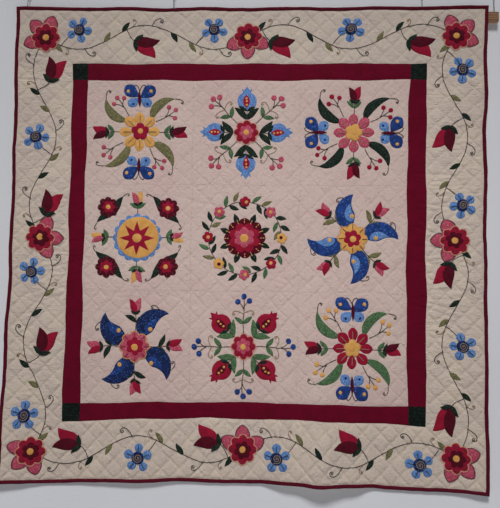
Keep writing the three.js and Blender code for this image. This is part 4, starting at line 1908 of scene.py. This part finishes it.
@dataclass
class Needlework:
    """The embroidery, the satin edges and the hand quilting."""

    hang: QuiltHang
    relief: QuiltRelief
    design: QuiltDesign
    back: QuiltBack
    step: float = 0.1
    clear: float = 3.0
    least_steps: int = 6
    least_points: int = 12
    sits: float = 0.3
    stem_sits: float = 0.4
    # How deep inside a patch's edge its lines and its satin edge are taken to lie.
    on_patch: float = 9.0
    edge_in: float = 1.0

    def embroider(self, name: str, pattern: Pattern) -> list[Piece]:
        """Embroiders a panel's lines and satin edges, one piece for each thread.

        Args:
            name: The panel's name.
            pattern: What is sewn on it.

        Returns:
            The pieces.
        """
        pieces = []
        for thread in Thread:
            title = f"{name}_{thread.name.lower()}"
            runs = [self.laid(line) for line in pattern.lines if line.thread is thread]
            if runs:
                pieces.append(sew(f"{title}_stem_stitch", runs, Stitch.STEM, thread))
            edges = [self.edged(patch) for patch in pattern.patches if patch.edge is thread]
            if edges:
                pieces.append(sew(f"{title}_satin_edge", edges, Stitch.SATIN, thread,
                                  closed=True))
        return pieces

    def laid(self, line: Line) -> Array:
        """Lays an embroidered line on the cloth that carries it.

        Args:
            line: The line.

        Returns:
            Points in metres.
        """
        share = np.linspace(0, 1, len(line.points))
        finer = np.linspace(0, 1, max(len(line.points), self.least_points))
        if len(line.points) == 3:
            start, middle, end = line.points
            points = (start * ((1 - finer) ** 2)[:, None] + middle * (2 * finer * (1 - finer))[:, None]
                      + end * (finer ** 2)[:, None])
        else:
            points = np.column_stack([np.interp(finer, share, line.points[:, axis]) for axis in (0, 1)])
        right, down = points.T
        if line.on is None:
            ground = self.relief.front(right, down)
        else:
            ground = self.relief.patch_top(line.on, np.full_like(right, self.on_patch), right, down)
        return self.hang.hang(right, down, ground + self.stem_sits)

    def edged(self, patch: Patch) -> Array:
        """Lays a satin edge just inside a patch's outline.

        Args:
            patch: The patch.

        Returns:
            Points in metres.
        """
        right, down = patch.outline.T
        top = self.relief.patch_top(patch.layer, np.full_like(right, self.edge_in), right, down)
        return self.hang.hang(right, down, top + self.sits)

    def runs(self) -> Iterator[Array]:
        """Gives the quilting lines, broken where patches or frame strips lie.

        Yields:
            Flat places of each run.
        """
        lines = self.hang.lines
        last = len(lines) - 1
        for number in range(-last + 2, 2 * last, 2):
            for falling in (False, True):
                low = max(0, number if falling else number - last)
                high = min(last, number + last if falling else number)
                if high - low < 1:
                    continue
                across = np.arange(low, high, self.step)
                below = across - number if falling else number - across
                right, down = (np.interp(way, np.arange(last + 1), lines) for way in (across, below))
                keep = (self.design.depth(right, down) < -self.clear) & ~self.relief.strip(right, down)
                keep &= self.relief.seam_gap(right, down) > self.clear
                for run in np.split(np.arange(len(across)), np.flatnonzero(np.diff(keep.astype(int))) + 1):
                    if keep[run[0]] and len(run) > self.least_steps:
                        yield np.column_stack((right[run], down[run]))

    def quilt(self) -> list[Piece]:
        """Sews the quilting lines of the field, of the border and of the backing.

        Returns:
            The pieces.
        """
        sides: dict[str, list[Array]] = {"field": [], "border": [], "backing": []}
        for run in self.runs():
            place = "field" if np.abs(run).max() < self.hang.half_field else "border"
            sides[place].append(self.hang.hang(*run.T, self.relief.front(*run.T) + self.sits))
            between = run[1:].T
            sides["backing"].append(self.hang.hang(*between, self.back.heights(*between) - self.sits))
        return [sew(f"{place}_quilting_stitches", runs, Stitch.QUILTING, Thread.CREAM)
                for place, runs in sides.items()]


@dataclass(frozen=True)
class HangingWire:
    """A taut twisted wire from the slat to the ring that holds it."""

    number: int
    foot: float
    head: float


WIRES = (HangingWire(1, -645, -640), HangingWire(2, -216, -216), HangingWire(3, 492, 492),
         HangingWire(4, 694, 693))


@dataclass
class Hanging:
    """The slat, and the wires and rings that carry it."""

    start: float = 0.3
    rise: float = 52.0
    diameter: float = 2.0
    ring_radius: float = 5.0
    ring_wire: float = 1.0
    ring_steps: int = 40
    strands: int = 6
    lay: float = 13.0
    steps: int = 44
    sides: int = 7

    def tube(self, path: Array, radius: float, closed: bool) -> tuple[Array, Array]:
        """Makes a round tube along a path.

        Args:
            path: The points that it follows.
            radius: The tube's radius.
            closed: Whether the path ends where it starts.

        Returns:
            The tube's points and faces.
        """
        ahead = np.roll(path, -1, axis=0) - np.roll(path, 1, axis=0) if closed else np.gradient(path, axis=0)
        ahead /= np.linalg.norm(ahead, axis=1)[:, None]
        aside = np.cross(ahead, (0.0, 1.0, 0.0))
        aside /= np.linalg.norm(aside, axis=1)[:, None]
        other = np.cross(ahead, aside)
        angle = np.linspace(0, math.tau, self.sides, endpoint=False)[:, None, None]
        points = path + radius * (np.cos(angle) * aside + np.sin(angle) * other)
        points = points.transpose(1, 0, 2).reshape(-1, 3)
        count = len(path)
        rows = np.arange(count if closed else count - 1)
        here = rows[:, None] * self.sides + np.arange(self.sides)
        there = (rows[:, None] + 1) % count * self.sides + np.arange(self.sides)
        faces = np.stack((here, np.roll(here, -1, 1), np.roll(there, -1, 1), there), -1).reshape(-1, 4)
        return points, faces[:, ::-1]

    def wire(self, wire: HangingWire) -> Piece:
        """Args:
            wire: The wire.

        Returns:
            The wire's piece.
        """
        share = np.linspace(0, 1, self.steps)
        across = wire.foot + (wire.head - wire.foot) * share
        core = np.column_stack((across, share * 0, self.start + self.rise * share))
        # Three strands lie side by side across the wire, and this is the radius of one.
        strand = self.diameter / 6
        points, faces = self.tube(core, strand, False)
        all_points, all_faces = [points], [faces]
        for number in range(self.strands):
            angle = math.tau * (number / self.strands + share * self.rise / self.lay)
            path = core + 2 * strand * np.column_stack((np.cos(angle), np.sin(angle), share * 0))
            points, faces = self.tube(path, strand, False)
            all_faces.append(faces + sum(map(len, all_points)))
            all_points.append(points)
        piece = new_piece(f"twisted_wire_{wire.number}", np.vstack(all_points) * MM, np.vstack(all_faces),
                          finish(Steel()))
        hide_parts(f"hanging_wire_{wire.number}")
        ring = self.ring(wire)
        return piece

    def ring(self, wire: HangingWire) -> Piece:
        """Builds the ring at a wire's upper end, in place of its solid.

        Args:
            wire: The wire.

        Returns:
            The ring's piece.
        """
        angle = np.linspace(0, math.tau, self.ring_steps, endpoint=False)
        height = self.start + self.rise + self.start + self.ring_radius + self.ring_wire
        path = np.column_stack((wire.head + self.ring_radius * np.cos(angle), angle * 0,
                                height + self.ring_radius * np.sin(angle)))
        points, faces = self.tube(path, self.ring_wire, True)
        piece = new_piece(f"steel_ring_{wire.number}", points * MM, faces, finish(Steel()))
        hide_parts(f"hanging_ring_{wire.number}")
        return piece

    def dress_slat(self) -> None:
        """Gives the slat's own solid its wood."""
        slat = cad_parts["hanging_slat"]
        slat.data.materials.clear()
        slat.data.materials.append(finish(Softwood()))


@dataclass
class Stage:
    """The floor, the wall and the soft light of a plain studio."""

    wall_y: float = 0.0085
    floor_z: float = -2.05
    reach: float = 6.0
    surround: float = 0.11
    sun: float = 2.41
    sun_spread: float = 13.0
    sun_from: tuple[float, float, float] = (-0.06, -0.58, 0.81)
    back_sun: float = 2.0
    back_sun_spread: float = 10.0
    back_sun_from: tuple[float, float, float] = (0.62, 0.72, 0.3)
    fill: float = 47.0
    fill_cone: float = 42.0
    fill_size: float = 0.2
    fill_place: tuple[float, float, float] = (0.03, -2.2, -0.56)

    def plane(self, name: str, corners: Sequence[Sequence[float]],
              material: Material) -> Piece:
        """Adds one flat sheet of the stage.

        Args:
            name: Its name.
            corners: Its four corners.
            material: Its finish.

        Returns:
            The sheet.
        """
        mesh = bpy.data.meshes.new(name)
        mesh.from_pydata(corners, [], [(0, 1, 2, 3)])
        mesh.materials.append(material)
        sheet = bpy.data.objects.new(name, mesh)
        bpy.context.scene.collection.objects.link(sheet)
        return sheet

    def build(self) -> None:
        """Builds the floor and the wall."""
        far, low, back = self.reach, self.floor_z, self.wall_y
        self.plane("floor", ((-far, -far, low), (far, -far, low), (far, far, low), (-far, far, low)),
                   finish(Plaster("pale_floor_paint", "#d6d6d8", "#cdcdd0")))
        wall = self.plane("wall", ((-far, back, low), (far, back, low), (far, back, far), (-far, back, far)),
                          finish(Plaster("white_wall_paint", "#d2d3d7", "#cdced2", clear_behind=True)))
        wall.visible_shadow = False
        wall.visible_diffuse = False
        wall.visible_glossy = False
        wall.visible_transmission = False

    def light(self) -> None:
        """Lights the quilt softly from above and in front, and its back from one side."""
        world = bpy.data.worlds.new("studio_surround")
        bpy.context.scene.world = world
        world.use_nodes = True
        world.node_tree.nodes["Background"].inputs["Color"].default_value = linear("#f2f4f8")
        world.node_tree.nodes["Background"].inputs["Strength"].default_value = self.surround
        self.lamp("window_light", self.sun, self.sun_spread, self.sun_from)
        self.lamp("light_on_the_back", self.back_sun, self.back_sun_spread, self.back_sun_from)
        self.fill_lamp()
        bpy.context.scene.view_settings.view_transform = "Standard"

    def fill_lamp(self) -> None:
        """Adds the lamp in front of the quilt, whose light falls off softly from its middle to its edges."""
        data = bpy.data.lights.new("fill_light", "SPOT")
        data.energy = self.fill
        data.spot_size = math.radians(self.fill_cone)
        data.spot_blend = 1.0
        data.shadow_soft_size = self.fill_size
        light = bpy.data.objects.new("fill_light", data)
        light.location = self.fill_place
        light.rotation_euler = Vector((0, -1, 0)).to_track_quat("Z", "Y").to_euler()
        light.visible_camera = False
        bpy.context.scene.collection.objects.link(light)

    def lamp(self, name: str, strength: float, spread: float, source: Sequence[float]) -> None:
        """Adds one wide and distant light.

        Args:
            name: The light's name.
            strength: How bright it is.
            spread: How wide it looks, in degrees.
            source: The direction that it shines from.
        """
        data = bpy.data.lights.new(name, "SUN")
        data.energy = strength
        data.angle = math.radians(spread)
        light = bpy.data.objects.new(name, data)
        light.rotation_euler = Vector(source).to_track_quat("Z", "Y").to_euler()
        bpy.context.scene.collection.objects.link(light)


@dataclass(frozen=True)
class PhotoCamera:
    """The camera at the photograph's place: low, a little to the right, and slightly rolled."""

    place: tuple[float, float, float] = (0.0958, -1.9622, -0.7935)
    yaw: float = -2.4
    pitch: float = 3.026
    roll: float = 0.792
    focal_pixels: float = 700.0
    picture_height: float = 508.0
    sensor: float = 36.0

    def build(self) -> None:
        """Adds the camera and makes it the scene's own."""
        data = bpy.data.cameras.new("photo_camera")
        data.sensor_width = self.sensor
        data.lens = self.sensor * self.focal_pixels / self.picture_height
        camera = bpy.data.objects.new("photo_camera", data)
        turn = (Matrix.Rotation(-math.radians(self.yaw), 4, "Z")
                @ Matrix.Rotation(math.radians(90 + self.pitch), 4, "X")
                @ Matrix.Rotation(math.radians(self.roll), 4, "Z"))
        camera.matrix_world = Matrix.Translation(self.place) @ turn
        bpy.context.scene.collection.objects.link(camera)
        bpy.context.scene.camera = camera


def main() -> None:
    """Builds the quilt's pieces in order and reports each one."""
    logging.basicConfig(level=logging.INFO, format="%(name)s: %(message)s")
    PhotoCamera().build()
    hanging = Hanging()
    for wire in WIRES:
        LOG.info("%s", hanging.wire(wire).name)
    hanging.dress_slat()
    hang = QuiltHang()
    design = QuiltDesign(hang)
    design.draw()
    relief = QuiltRelief(hang, design)
    back = QuiltBack(hang, relief)
    LOG.info("%s", back.build().name)
    top, applique = QuiltTop(hang, relief), Applique(hang, relief)
    needle = Needlework(hang, relief, design, back)
    for panel in quilt_panels(hang):
        piece = top.build(panel)
        pattern = design.groups.get(panel.name, Pattern())
        sewn = [*applique.build(panel.name, pattern), *needle.embroider(panel.name, pattern)]
        top.declare(panel, piece, sewn)
        LOG.info("%s with %d sewn pieces", piece.name, len(sewn))
    for piece in needle.quilt():
        LOG.info("%s", piece.name)
    for number, side in enumerate(SIDES):
        LOG.info("%s", Binding(hang).build(side, number).name)
    stage = Stage()
    stage.build()
    stage.light()


if __name__ == "__main__":
    main()
